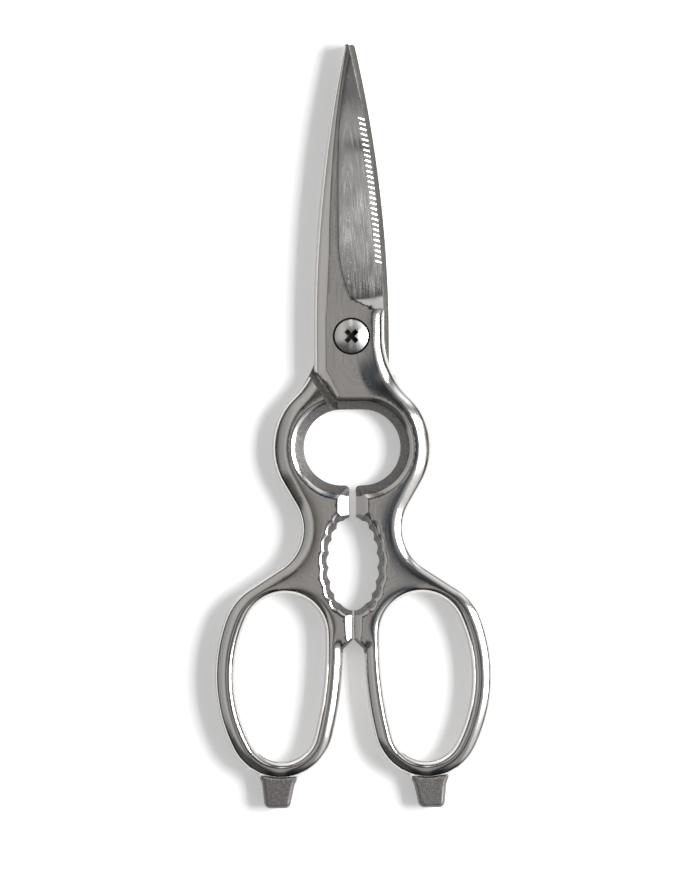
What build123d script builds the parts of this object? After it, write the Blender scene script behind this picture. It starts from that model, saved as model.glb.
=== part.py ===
from build123d import *
import os
from math import acos, asin, cos, degrees, radians, sin, sqrt, tan

# Kitchen shears: two forged halves that cross at a screw, lying closed on the plane z = 0.
# The pivot axis is the Z axis, the blades point along +Y, and all sizes are millimetres.
# The front half has its blade in the upper layer and its handle at the right (+X).
# The rear half is the same forging turned over, with its blade in the lower layer.

# Blades
blade_thickness = 3.5  # one layer; the halves meet in the plane between the layers
blade_length = 81.5  # pivot to where spine and edge would meet
spine_half_width = 10.1
edge_half_width = 8.9
tip_radius = 0.85
tip_thickness = 2.0
taper_start = 18.0  # from here to the tip the blade gets thinner
edge_land = 0.5  # thickness left at the cutting edge
spine_bevel_width = 1.9
spine_bevel_depth = 1.0
grind_shoulder = 3.4  # from the pivot axis to the upper limit of the ground face
grind_hollow = 0.25
grind_start = 9.8
shoulder_turn = 28.0  # the shoulder is straight from the grind's start to here
shoulder_drift = 3.75  # sideways run of the shoulder towards the tip
shoulder_end = 76.3
plunge_angle = 45.0
plunge_skew = 23.0
choil_depth = 0.2
ricasso_length = 7.0

# Fine teeth on the front edge
tooth_pitch = 1.4
tooth_count = 28
tooth_start = 20.3
tooth_width = 0.75
tooth_reach = 1.5
tooth_slope = 33.0
tooth_lean = 8.0

# Lap where the halves cross below the pivot
lap_corner_drop = 9.7
lap_corner_radius = 2.6
lap_foot_x = 3.95
lap_foot_drop = 19.2
lap_channel = 1.6

# Handle outline: a lobe round the opener, a waist and an egg-shaped finger bow
lobe_centre = (2.38, -29.9)
lobe_radius = 19.1
waist_centre = (26.1, -51.72)
waist_radius = 12.41
bow_top = (19.18, -81.48)
bow_top_radius = 16.33
bow_bottom = (19.8, -104.45)
bow_bottom_radius = 14.43
bow_outer_side_radius = 44.1
bow_inner_side_radius = 104.5
bow_wall = 5.41
finger_top = (18.42, -79.39)
finger_bottom = (19.41, -105.46)
arm_rounding = 2.4
finger_rounding = 2.0
rounding_bevels = 3  # narrow bevels make up each quarter round

# Opener hole, hook pads, nutcracker and contact pads
opener_drop = 29.9
opener_radius = 10.2
opener_spread = 5.6
opener_draft = 42.0
hook_gap = 1.6
hook_draft = 45.0
hook_end_drop = 49.0
cracker_drop = 61.2
cracker_half_width = 6.5
cracker_half_length = 12.6
cracker_draft = 32.0
flute_radius = 2.2
flute_depth = 0.75
flute_count = 7
flute_first_angle = 57.0
flute_step_angle = 17.6
contact_gap = 0.3
contact_end_drop = 81.6
contact_chamfer_drop = 84.3

# Driver lug under each bow
lug_centre_x = 20.4
lug_root_width = 10.0
lug_end_width = 8.4
lug_end_drop = 126.9
lug_root_drop = 116.8
lug_thickness = 3.0
lug_corner_radius = 1.5
lug_bevel_length = 1.6
lug_bevel_depth = 0.9

# Pivot
head_diameter = 9.0
head_height = 2.2
head_rim = 0.8
dome_bevels = 2
shoulder_diameter = 6.0
thread_diameter = 5.0
counterbore_diameter = 10.0
counterbore_depth = 1.6
washer_thickness = 0.5
washer_diameter = 9.4
nut_diameter = 8.4
nut_thickness = 1.7
nut_inset = 0.3
nut_slot_width = 1.2
nut_slot_depth = 0.6
cross_length = 4.8
cross_width = 1.1
cross_depth = 1.3
running_clearance = 0.04
seat_clearance = 0.1
thread_clearance = 0.02

# One overrun serves all cuts
overrun = 3.0

mid_height = blade_thickness
full_height = 2 * blade_thickness
mid_plane = Plane.XY.offset(mid_height)


# Planar geometry

def point(pair):
    """A planar point as a vector."""
    return Vector(pair[0], pair[1])


def touch(inner, inner_radius, outer):
    """Where a disc touches the larger disc round the centre outer that holds it."""
    return inner + (inner - outer).normalized() * inner_radius


def crossing_tangent(first, first_radius, second, second_radius, side):
    """Ends of the straight from one side of the first disc to the other side of the second."""
    way = second - first
    turn = side * degrees(acos((first_radius + second_radius) / way.length))
    spoke = way.normalized().rotate(Axis.Z, turn)
    return first + spoke * first_radius, second - spoke * second_radius


def side_centre(top, top_radius, bottom, bottom_radius, radius, side):
    """Centre of the arc that holds both end discs of an egg and touches each of them."""
    way = bottom - top
    along = ((radius - top_radius) ** 2 - (radius - bottom_radius) ** 2 + way.length**2) / (2 * way.length)
    across = sqrt((radius - top_radius) ** 2 - along**2)
    axis = way.normalized()
    return top + axis * along + axis.rotate(Axis.Z, 90) * side * across


def egg(top, bottom, shrink):
    """Four joints and two side centres of the bow's egg, shrunk by a wall."""
    top_radius = bow_top_radius - shrink
    bottom_radius = bow_bottom_radius - shrink
    right = side_centre(top, top_radius, bottom, bottom_radius, bow_outer_side_radius - shrink, -1)
    left = side_centre(top, top_radius, bottom, bottom_radius, bow_inner_side_radius - shrink, 1)
    joints = [
        touch(top, top_radius, right),
        touch(bottom, bottom_radius, right),
        touch(bottom, bottom_radius, left),
        touch(top, top_radius, left),
    ]
    return joints, right, left


def disc_arc(centre, start, end):
    """The short arc round a centre from start to end, drawn in the open line."""
    spoke = ((start + end) * 0.5 - centre).normalized()
    return ThreePointArc(start, centre + spoke * (start - centre).length, end)


# Spine and edge are arcs that leave the pivot's level straight up and meet at the point
point_x = (edge_half_width - spine_half_width) / 2
side_width = edge_half_width - point_x
side_radius = (blade_length**2 + side_width**2) / (2 * side_width)
blade_point = Vector(point_x, blade_length)
tip_centre = Vector(point_x, sqrt((side_radius - tip_radius) ** 2 - (side_radius - side_width) ** 2))


def edge_x(height):
    """Sideways place of the cutting edge at a height above the pivot."""
    return edge_half_width - side_radius + sqrt(side_radius**2 - height**2)


def shoulder_x(height):
    """Sideways place of the ground face's upper limit."""
    share = max(0, height - shoulder_turn) / (shoulder_end - shoulder_turn)
    return shoulder_drift * share**3 - grind_shoulder


taper_length = blade_length - taper_start
taper_drop = blade_thickness - tip_thickness


def blade_top(height):
    """Level of the blade's upper face, which falls in an arc towards the tip."""
    share = max(0, height - taper_start) / taper_length
    return full_height - taper_drop * share**2


# Tool that grinds the blade's upper face down to its edge, with the sloping end by the pivot

plunge_normal = Vector(0, 1, 0).rotate(Axis.X, plunge_angle).rotate(Axis.Z, -plunge_skew)
plunge_plane = Plane(origin=(0, grind_start, full_height), z_dir=plunge_normal)
section_heights = [
    ricasso_length - overrun,
    shoulder_turn,
    (shoulder_turn + shoulder_end) / 2,
    shoulder_end,
    blade_length,
]

with BuildPart() as grind_tool:
    for height in section_heights:
        reach = min(height, shoulder_end)
        upper = Vector(shoulder_x(reach), blade_top(reach))
        lower = Vector(edge_x(reach), mid_height + edge_land)
        run = (lower - upper).normalized() * overrun
        upper_end = upper - run
        lower_end = lower + run
        sag = (upper + lower) * 0.5 + run.rotate(Axis.Z, -90).normalized() * grind_hollow
        with BuildSketch(Plane.XZ.offset(-height)):
            with BuildLine():
                ThreePointArc(upper_end, sag, lower_end)
                Polyline(
                    lower_end,
                    (lower_end.X, full_height + overrun),
                    (upper_end.X, full_height + overrun),
                    upper_end,
                )
            make_face()
    loft()
    split(bisect_by=plunge_plane, keep=Keep.TOP)

# The forging common to both halves, as the front half holds it

lobe = point(lobe_centre)
waist = point(waist_centre)
neck_radius = ((edge_half_width - lobe.X) ** 2 + lobe.Y**2 - lobe_radius**2) / (
    2 * (lobe_radius - edge_half_width + lobe.X)
)
neck = Vector(edge_half_width + neck_radius, 0)
bow_left = egg(point(bow_top), point(bow_bottom), 0)[2]
bow_left_y = -contact_chamfer_drop - bow_left.Y
bow_left_end = bow_left + Vector(-sqrt(bow_inner_side_radius**2 - bow_left_y**2), bow_left_y)
contact_x = contact_gap / 2

# The lap's side wall runs from its corner on the spine to its foot at the opener hole
lap_corner = Vector(-spine_half_width, -lap_corner_drop)
lap_foot = Vector(-lap_foot_x, -lap_foot_drop)
lap_way = (lap_foot - lap_corner).normalized()
lap_end = lap_foot + lap_way * overrun

# The handle's blank reaches past the pads, which are cut to size below

def finger_section(level, spread):
    """Outline of the finger hole at a level above the mid plane, widened there by its rounding."""
    joints, right, left = egg(point(finger_top), point(finger_bottom), bow_wall - spread)
    with BuildSketch(mid_plane.offset(level)) as section:
        with BuildLine():
            disc_arc(point(finger_top), joints[3], joints[0])
            disc_arc(right, joints[0], joints[1])
            disc_arc(point(finger_bottom), joints[1], joints[2])
            disc_arc(left, joints[2], joints[3])
        make_face()
    return section.sketch.face()


def blank_section(level, inset):
    """Outline of the handle's blank at a level above the mid plane, drawn in there by its rounding."""
    joints, right, left = egg(point(bow_top), point(bow_bottom), inset)
    lobe_spoke = (neck - lobe).normalized() * (lobe_radius - inset)
    crossing = crossing_tangent(lobe, lobe_radius - inset, waist, waist_radius + inset, 1)
    rising = crossing_tangent(waist, waist_radius + inset, point(bow_top), bow_top_radius - inset, -1)
    left_side = left + (bow_left_end - left).normalized() * (bow_inner_side_radius - inset)
    side = edge_half_width - inset
    with BuildSketch(mid_plane.offset(level)) as section:
        with BuildLine():
            Line((side, ricasso_length + overrun), (side, 0))
            disc_arc(neck, Vector(side, 0), lobe + lobe_spoke)
            disc_arc(lobe, lobe + lobe_spoke, crossing[0])
            Line(crossing[0], crossing[1])
            disc_arc(waist, crossing[1], rising[0])
            Line(rising[0], rising[1])
            disc_arc(point(bow_top), rising[1], joints[0])
            disc_arc(right, joints[0], joints[1])
            disc_arc(point(bow_bottom), joints[1], joints[2])
            disc_arc(left, joints[2], left_side)
            Polyline(
                left_side,
                (-spine_half_width - overrun, left_side.Y),
                (-spine_half_width - overrun, ricasso_length + overrun),
                (side, ricasso_length + overrun),
            )
        make_face()
    return section.sketch.face()


def rounded(section_at, radius):
    """Full height of an outline, its rims rounded by narrow bevels."""
    sections = [section_at(0, 0)]
    for index in range(rounding_bevels + 1):
        turn = radians(90 * index / rounding_bevels)
        sections.append(section_at(mid_height - radius + radius * sin(turn), radius * (1 - cos(turn))))
    loft(sections, ruled=True)
    mirror(about=mid_plane)


with BuildPart() as finger_tool:
    rounded(finger_section, finger_rounding)

with BuildPart() as blank:
    rounded(blank_section, arm_rounding)
    add(finger_tool.part, mode=Mode.SUBTRACT)

with BuildPart() as forging:
    add(blank.part)

    # The pads' side and the lap's side wall
    with BuildSketch():
        with BuildLine():
            Polyline(
                bow_left_end,
                (contact_x, -contact_end_drop),
                (contact_x, lap_end.Y),
                lap_end,
                lap_corner,
                (-spine_half_width, 0),
                (edge_half_width, ricasso_length),
                (edge_half_width + overrun, ricasso_length),
                (edge_half_width + overrun, ricasso_length + 2 * overrun),
                (-spine_half_width - 2 * overrun, ricasso_length + 2 * overrun),
                (-spine_half_width - 2 * overrun, bow_left_end.Y - overrun),
                close=True,
            )
        make_face()
    extrude(amount=full_height, mode=Mode.SUBTRACT)

    # Only the handle beyond the lap's shoulder is in the lower layer
    shoulder_way = Vector(-lap_way.X, lap_way.Y)
    shoulder_foot = Vector(lap_foot_x, -lap_foot_drop) + shoulder_way.rotate(Axis.Z, 90) * lap_channel
    shoulder_low = shoulder_foot + shoulder_way * overrun
    shoulder_high = shoulder_foot - shoulder_way * (lap_foot_drop + overrun)
    with BuildSketch():
        with BuildLine():
            Polyline(
                shoulder_high,
                shoulder_low,
                (-spine_half_width - overrun, shoulder_low.Y),
                (-spine_half_width - overrun, ricasso_length + overrun),
                (shoulder_high.X, ricasso_length + overrun),
                close=True,
            )
        make_face()
    extrude(amount=mid_height, mode=Mode.SUBTRACT)

    # Blade in the upper layer
    with BuildSketch(mid_plane):
        with BuildLine():
            TangentArc((-spine_half_width, 0), blade_point, tangent=(0, 1))
            TangentArc((edge_half_width - choil_depth, 0), blade_point, tangent=(0, 1))
            Line((edge_half_width - choil_depth, 0), (-spine_half_width, 0))
        make_face()
    extrude(amount=blade_thickness)

    # The neck's rounding runs on along the ricasso into the ground face
    rounding_centre = Vector(edge_half_width - arm_rounding, full_height - arm_rounding)
    rounding_turns = [radians(90 * index / rounding_bevels) for index in range(rounding_bevels + 1)]
    with BuildSketch(Plane.XZ):
        with BuildLine():
            Polyline(
                *[rounding_centre + Vector(cos(turn), sin(turn)) * arm_rounding for turn in rounding_turns],
                rounding_centre + Vector(0, arm_rounding + overrun),
                rounding_centre + Vector(arm_rounding + overrun, arm_rounding + overrun),
                rounding_centre + Vector(arm_rounding + overrun, 0),
                close=True,
            )
        make_face()
    extrude(amount=-grind_start, mode=Mode.SUBTRACT)

    # Rounded corner of the lap
    lap_edge = edges().filter_by(Axis.Z).sort_by_distance(lap_corner)[0]
    fillet(lap_edge, radius=lap_corner_radius)

    # The blade thins in an arc from the ricasso to the tip
    with BuildSketch(Plane.YZ.offset(-spine_half_width - overrun)):
        with BuildLine():
            taper_foot = (blade_length, full_height - taper_drop)
            TangentArc((taper_start, full_height), taper_foot, tangent=(1, 0))
            Polyline(
                taper_foot,
                (blade_length, full_height + overrun),
                (taper_start, full_height + overrun),
                (taper_start, full_height),
            )
        make_face()
    extrude(amount=2 * (spine_half_width + overrun), mode=Mode.SUBTRACT)

    # Bevel along the spine and round the lap's corner
    crown = (-spine_half_width, -lap_corner_drop / 2, full_height)
    top_face = faces().filter_by(Axis.Z).sort_by_distance(crown)[0]
    spine_edge = top_face.edges().sort_by_distance(crown)[0]
    chamfer(spine_edge, length=spine_bevel_width, length2=spine_bevel_depth, reference=top_face)

    add(grind_tool.part, mode=Mode.SUBTRACT)

    # Rounded tip
    tip_side = Vector(tip_radius, 0).rotate(Axis.Z, degrees(asin(tip_centre.Y / (side_radius - tip_radius))))
    tip_right = tip_centre + tip_side
    tip_left = tip_centre + Vector(-tip_side.X, tip_side.Y)
    with BuildSketch():
        with BuildLine():
            ThreePointArc(tip_left, tip_centre + Vector(0, tip_radius), tip_right)
            Polyline(
                tip_right,
                tip_right + Vector(overrun, 0),
                blade_point + Vector(overrun, overrun),
                blade_point + Vector(-overrun, overrun),
                tip_left - Vector(overrun, 0),
                tip_left,
            )
        make_face()
    extrude(amount=full_height, mode=Mode.SUBTRACT)

    # Opener hole, with walls that open upwards and downwards from the mid plane
    with BuildSketch(mid_plane):
        with Locations((0, -opener_drop)):
            SlotCenterToCenter(opener_spread, 2 * opener_radius)
    extrude(amount=mid_height + overrun, both=True, taper=-opener_draft, mode=Mode.SUBTRACT)

    # Hook pads below the opener and contact pads above the bows slope away from the mid plane
    for gap, draft, start, end in (
        (hook_gap, hook_draft, opener_drop, hook_end_drop),
        (contact_gap, cracker_draft, cracker_drop, contact_chamfer_drop + overrun),
    ):
        reach = mid_height + overrun
        lean = reach * tan(radians(draft))
        with BuildSketch(Plane.XZ.offset(start)):
            with BuildLine():
                Polyline(
                    (gap / 2, mid_height),
                    (gap / 2 + lean, mid_height + reach),
                    (-spine_half_width, mid_height + reach),
                    (-spine_half_width, mid_height - reach),
                    (gap / 2 + lean, mid_height - reach),
                    close=True,
                )
            make_face()
        extrude(amount=end - start, mode=Mode.SUBTRACT)

    # Nutcracker opening with its drafted walls, then the fluted teeth along them
    with BuildSketch(mid_plane):
        with Locations((0, -cracker_drop)):
            Ellipse(cracker_half_width, cracker_half_length)
    extrude(amount=mid_height + overrun, both=True, taper=-cracker_draft, mode=Mode.SUBTRACT)
    flutes = []
    for index in range(flute_count):
        angle = radians(flute_first_angle - index * flute_step_angle)
        outward = Vector(cracker_half_length * cos(angle), cracker_half_width * sin(angle)).normalized()
        on_wall = Vector(cracker_half_width * cos(angle), cracker_half_length * sin(angle) - cracker_drop)
        flutes.append(on_wall - outward * (flute_radius - flute_depth))
    with BuildSketch(mid_plane):
        with Locations(*flutes):
            Circle(flute_radius)
    extrude(amount=mid_height + overrun, both=True, taper=-cracker_draft, mode=Mode.SUBTRACT)

    # Driver lug under the bow, thinned to a driver's end
    with BuildSketch(mid_plane.offset(-lug_thickness / 2)):
        with BuildLine():
            Polyline(
                (lug_centre_x - lug_root_width / 2, -lug_root_drop),
                (lug_centre_x + lug_root_width / 2, -lug_root_drop),
                (lug_centre_x + lug_end_width / 2, -lug_end_drop),
                (lug_centre_x - lug_end_width / 2, -lug_end_drop),
                close=True,
            )
        make_face()
        fillet(vertices().group_by(Axis.Y)[0], radius=lug_corner_radius)
    extrude(amount=lug_thickness)

    # The driver's end is thinned from both faces
    for side in (1, -1):
        with BuildSketch(Plane.YZ.offset(lug_centre_x - lug_root_width)):
            with BuildLine():
                Polyline(
                    (-lug_end_drop, mid_height + side * (lug_thickness / 2 - lug_bevel_depth)),
                    (-lug_end_drop + lug_bevel_length, mid_height + side * lug_thickness / 2),
                    (-lug_end_drop, mid_height + side * lug_thickness / 2),
                    close=True,
                )
            make_face()
        extrude(amount=2 * lug_root_width, mode=Mode.SUBTRACT)

# Fine teeth along the front edge: square notches on their corner, sloping up into the ground face

tooth_places = []
for index in range(tooth_count):
    height = tooth_start + index * tooth_pitch
    tooth_places.append(Location((edge_x(height), height, mid_height), (0, tooth_slope, -tooth_lean)))

with BuildPart() as front_half:
    add(forging.part)
    with Locations(*tooth_places):
        Box(2 * tooth_reach, tooth_width, tooth_width, rotation=(45, 0, 0), mode=Mode.SUBTRACT)
    with Locations((0, 0, full_height)):
        CounterBoreHole(
            radius=shoulder_diameter / 2 + running_clearance,
            counter_bore_radius=counterbore_diameter / 2,
            counter_bore_depth=counterbore_depth,
            depth=blade_thickness + overrun,
        )

front_half.part.label = "front_half"

# The same forging turned over carries the thread and the nut's seat

nut_seat_depth = nut_inset + nut_thickness
turn_axis = Axis((0, 0, mid_height), (0, 1, 0))

with BuildPart() as rear_half:
    add(forging.part.rotate(turn_axis, 180))
    with Locations(Location((0, 0, 0), (180, 0, 0))):
        CounterBoreHole(
            radius=thread_diameter / 2 + thread_clearance,
            counter_bore_radius=nut_diameter / 2 + seat_clearance,
            counter_bore_depth=nut_seat_depth,
            depth=blade_thickness + overrun,
        )

rear_half.part.label = "rear_half"

# Spring washer on the counterbore's floor

washer_level = full_height - counterbore_depth

with BuildPart() as spring_washer:
    with BuildSketch(Plane.XY.offset(washer_level)):
        Circle(washer_diameter / 2)
        Circle(shoulder_diameter / 2 + seat_clearance, mode=Mode.SUBTRACT)
    extrude(amount=washer_thickness)

spring_washer.part.label = "spring_washer"

# Pivot screw: domed head, plain shoulder through the front half, thread in the rear half

head_level = washer_level + washer_thickness
head_radius = head_diameter / 2
head_top = head_level + head_height

dome_height = head_height - head_rim
dome_radius = (head_radius**2 + dome_height**2) / (2 * dome_height)
dome_reaches = [head_radius * (1 - index / dome_bevels) for index in range(dome_bevels + 1)]
dome = [(reach, head_top - dome_radius + sqrt(dome_radius**2 - reach**2)) for reach in dome_reaches]

with BuildPart() as pivot_screw:
    with BuildSketch(Plane.XZ):
        with BuildLine():
            Polyline(
                *dome,
                (0, nut_inset),
                (thread_diameter / 2, nut_inset),
                (thread_diameter / 2, mid_height),
                (shoulder_diameter / 2, mid_height),
                (shoulder_diameter / 2, head_level),
                (head_radius, head_level),
                close=True,
            )
        make_face()
    revolve(axis=Axis.Z)
    with Locations((0, 0, head_top)):
        Box(cross_length, cross_width, 2 * cross_depth, mode=Mode.SUBTRACT)
        Box(cross_width, cross_length, 2 * cross_depth, mode=Mode.SUBTRACT)

pivot_screw.part.label = "pivot_screw"

# Round nut in its seat at the back, with a driver slot

with BuildPart() as lock_nut:
    with BuildSketch(Plane.XY.offset(nut_inset)):
        Circle(nut_diameter / 2)
        Circle(thread_diameter / 2 + thread_clearance, mode=Mode.SUBTRACT)
    extrude(amount=nut_thickness)
    with Locations((0, 0, nut_inset)):
        Box(nut_diameter, nut_slot_width, 2 * nut_slot_depth, mode=Mode.SUBTRACT)

lock_nut.part.label = "lock_nut"

os.makedirs("parts", exist_ok=True)
for piece in (front_half, rear_half, pivot_screw, spring_washer, lock_nut):
    export_step(piece.part, "parts/" + piece.part.label + ".step")
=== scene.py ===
from math import acos, asin, atan, cos, degrees, pi, radians, sin, sqrt, tan

import bmesh
import bpy
import numpy as np
from mathutils import Euler, Matrix, Vector
from mathutils.geometry import delaunay_2d_cdt


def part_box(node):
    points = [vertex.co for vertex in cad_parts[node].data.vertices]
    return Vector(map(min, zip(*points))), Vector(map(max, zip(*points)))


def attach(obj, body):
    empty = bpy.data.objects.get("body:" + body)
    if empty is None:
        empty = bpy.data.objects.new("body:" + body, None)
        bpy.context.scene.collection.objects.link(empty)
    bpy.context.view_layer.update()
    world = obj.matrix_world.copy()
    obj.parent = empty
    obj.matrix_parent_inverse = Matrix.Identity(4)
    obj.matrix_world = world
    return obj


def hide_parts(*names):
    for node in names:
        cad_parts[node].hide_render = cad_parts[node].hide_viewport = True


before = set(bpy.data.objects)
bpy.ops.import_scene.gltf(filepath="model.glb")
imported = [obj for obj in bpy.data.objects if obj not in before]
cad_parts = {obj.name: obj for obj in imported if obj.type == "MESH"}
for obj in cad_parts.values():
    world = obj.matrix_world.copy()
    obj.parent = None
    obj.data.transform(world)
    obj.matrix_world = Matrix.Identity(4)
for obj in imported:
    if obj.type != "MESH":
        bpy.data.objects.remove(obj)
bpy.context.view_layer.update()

bl_info = {
    "name": "Kitchen Shears",
    "version": (1, 0, 0),
    "blender": (4, 5, 0),
    "location": "View3D > Sidebar > Shears",
    "description": "Builds forged kitchen shears with a toothed blade, opener, nutcracker and finger bows",
    "category": "Add Mesh",
}

MM = 0.001

# Both halves share one forging, described as the front half holds it: the pivot axis is
# the Z axis, the blade points along +Y in the upper layer and the handle is at the right.

BLADE = 81.5  # pivot to where spine and edge would meet
SPINE_HALF = 10.1
EDGE_HALF = 8.9
LAYER = 3.5
TOP = 2 * LAYER
TIP_RADIUS = 0.85
TIP_THICKNESS = 2.0
TAPER_START = 18.0
RICASSO = 7.0
CHOIL = 0.2
LOBE, LOBE_RADIUS = (2.38, -29.9), 19.1
WAIST, WAIST_RADIUS = (26.1, -51.72), 12.41
BOW_TOP, BOW_TOP_RADIUS = (19.18, -81.48), 16.33
BOW_BOTTOM, BOW_BOTTOM_RADIUS = (19.8, -104.45), 14.43
BOW_OUTER_SIDE, BOW_INNER_SIDE = 44.1, 104.5
FINGER_TOP, FINGER_BOTTOM = (18.42, -80.1), (19.41, -105.46)
BOW_WALL = 5.41
LAP_CORNER = (-10.1, -9.7)
LAP_FOOT = (-3.95, -19.2)
LAP_CORNER_RADIUS = 2.6
LAP_CHANNEL = 1.6
OPENER = (2.8, -29.9)
OPENER_RADIUS = 10.2
HOOK_X = 0.8
HOOK_ROUND = 1.3
CRACKER_Y, CRACKER_A, CRACKER_B = -61.2, 6.5, 12.6
FLUTE_FIRST, FLUTE_STEP, FLUTE_COUNT, FLUTE_DEPTH = 57.0, 17.6, 7, 0.62
FLUTE_POWER = 1.7
CONTACT_X, CONTACT_END, CONTACT_CHAMFER = 0.15, -81.6, -84.3
LUG_X, LUG_END_Y, LUG_CORNER, LUG_HOLLOW = 20.4, -126.9, 1.6, 6.0
LUG_ROOT_SIDES, LUG_END_SIDES = (15.7, 24.9), (17.45, 24.15)
LUG_HALF_THICKNESS, LUG_HALF_WIDTH, LUG_REACH = 1.5, 4.9, 8
LUG_RIM = (0.9, 1.3)
BOW_FOOT_Y = -112
LAP_END_Y = -24

# Shoulder of the ground face: its place, and for each end where it starts to turn in,
# over what length, by how much and along which power
SHOULDER_X = -3.25
SHOULDER_AT_TIP = (42, 34.3, 3.6, 2.5)
SHOULDER_AT_HEEL = (26, 15.2, 3.0, 2.1)
SHOULDER_END = 76.3

# Ground face: its slope, the heights between which it eases and by how much, and the middle,
# spread and depth of a slight dip. The fillet has a height, a curve and a width.
GROUND_SLOPE, SHOULDER_RISE = 0.25, 1.5
SLOPE_EASES = (52, 66, 0.1)
SLOPE_DIPS = (49, 4, 0.04)
FILLET = (13.6, 0.027, 7)

# Micro bevel: thickness of the edge, its slope, and how high and between which heights it fades in
EDGE_THICKNESS, MICRO_SLOPE, MICRO_LIFT = 0.1, 6, 2.5
MICRO_FADES = (57, 67)

# Plunge between ricasso and ground face: its fall, the way that it falls and its foot
PLUNGE_FALL, PLUNGE_WAY, PLUNGE_FOOT, PLUNGE_LOWEST = 0.46, (0.429, 0.903), 10.0, 4

# Bevel along spine and lap, and the rounded rim outside it, against height
BEVEL_WIDTHS = ([-19, -9, 22, 58, 79], [2.2, 3.4, 3.5, 1.5, 0.5])
BEVEL_FALLS = ([22, 79], [0.29, 0.4])
RIM_WIDTH, LAP_RIM_ADDS, RIM_FALL = 0.75, 0.5, 2.3
RIM_SHARES = ([40, 79], [1.0, 0.4])
LAP_RIM_SPAN = (-9, -13)

# Dish round the screw: radius, width and depth
HUB_DISH = (7.1, 2.1, 0.05)

# Drafted walls: width of the blasted wall and of the polished lip above it
LIP_SLOPE = 0.5
WALL_BASE = LAYER + 0.15
OPENER_WALL, CRACKER_WALL = 2.35, 1.35
OPENER_LIP, CRACKER_LIP = 1.4, 1.0
HOOK_WALL, CONTACT_WALL, CHAMFER_WALL = (0.25, 3.1), (0.3, 1.9), (0.9, 0.3)
FLUTE_FADES = (2.2, 0.3)

# Where the blasted finish stops: short of a wall's top, of a flute's floor and of the bow
MATTE_MARGIN, MATTE_FLUTE, MATTE_LUG = 0.05, 0.8, 0.4

# Crown of the arm: width and drop of its rounded side, and what lobe, bow and ricasso add to them
ROUND_WIDTH, LOBE_WIDENS, BOW_WIDENS, RICASSO_WIDENS = 3.3, 0.9, -0.2, -1.1
ROUND_DROP, LOBE_DROPS = 2.2, -0.4
CROWN_WIDTH, CROWN_DROP, RICASSO_FLATTENS = 9.0, 0.6, 0.3
LOBE_SWELL, HEEL_SWELL = (-29, 14), (-11.5, 4.5)
BOW_SPAN, RICASSO_SPAN = (-70, -84), (-14, -6)
BEYOND_SLOPE = 6
RICASSO_FLAT_SPAN = (RICASSO - 2.2, RICASSO + 1.6)

# Soft bends of the arm: distance from the outline, length of the bend and slope past it
LOBE_BEND, RICASSO_BEND, HEEL_BEND = (3.9, 1.0, 0.3), (3.3, 0.3, 0.26), (8.6, 0.7, 0.075)

# Rim of a finger hole: pairs of width and drop, the second of them steep
FINGER_ROUND, FINGER_STEEP, FINGER_CROWN = (3.1, 0.75), (3.1, 1.8), (6, 0.25)

# Bore, its depth and the hole through it, of the front half and of the rear half
FRONT_BORE = (5.0, 1.6, 3.04)
REAR_BORE = (4.3, 2.0, 2.52)

# Sections of the fasteners as (radius, height) pairs
SCREW_SHANK = [(0, 0.45), (2.1, 0.45), (2.45, 0.75), (2.45, 3.52), (2.95, 3.52), (2.95, 5.98), (4.35, 5.98)]
HEAD_CORNER, CROSS_FLOOR, CROSS_LOW_SHARE = 0.12, 6.35, 0.45
WASHER_SECTION = [(3.12, 5.42), (4.6, 5.42), (4.66, 5.5), (4.66, 5.84), (4.6, 5.9), (3.12, 5.9)]
NUT_SECTION = [(2.55, 0.4), (3.8, 0.32), (4.12, 0.55), (4.15, 1.9), (4.1, 1.97), (2.55, 1.97)]
NUT_SLOT_FLOOR, NUT_SLOT_TURN, NUT_SLOT_LENGTH = 0.9, radians(30), 2.2 * NUT_SECTION[3][0]
HEAD_SEGMENTS, RING_SEGMENTS, DOME_ROWS = 128, 96, 22

# Finishes in the order of a forging's material slots; the third is no finish but near-black painted shade in
# the bore and its walls
FINISHES = ("polished", "blasted", "painted_shade", "joint")

# Spacing of the mesh in millimetres, and how far the upper face may leave its triangles
STEP, GRID, BORE_SEGMENTS, SHOULDER_STEP = 0.55, 0.9, 96, 0.5
ROW_PLACES = (0.1, 0.3, 0.6, 1.05, 1.6, 2.2, 2.9)
GRID_WIDTH, GRID_HEIGHT, GRID_ROW = (-12, 38), (-128, 80), 0.866
CREASE_SPAN, CREASE_STEP, CREASE_SIDE, CREASE_FREE = (10.8, 76), 0.4, 0.12, 0.09
TOLERANCES, SHORTEST = (0.02, 0.012, 0.01), 0.2
FREE_SHARE, FREE_LEAST, FREE_MOST, CRACKER_FREE = 0.45, 0.1, 0.6, 0.3
CLOSEST, SNAP = 0.02, 0.2
ON_LINE, PAST_END, DOUBLES = 1e-4, 1e-3, 1e-7

# Sharpest bends in degrees that are shaded smooth
FORGING_BEND, FASTENER_BEND = 28, 25

# Photograph: millimetres to a pixel and the height in metres where that holds, its size,
# the pivot in it and the tilt of the shears in degrees
SCALE, SCALE_HEIGHT = 0.2687, 0.006
PHOTO = (700, 875)
PIVOT_PX = (351.4, 336.2)
ROLL = -0.38

# Half the floor's width in metres, and how far it lies under the shears in millimetres
FLOOR_REACH, FLOOR_DROP = 3.0, 0.2

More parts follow.
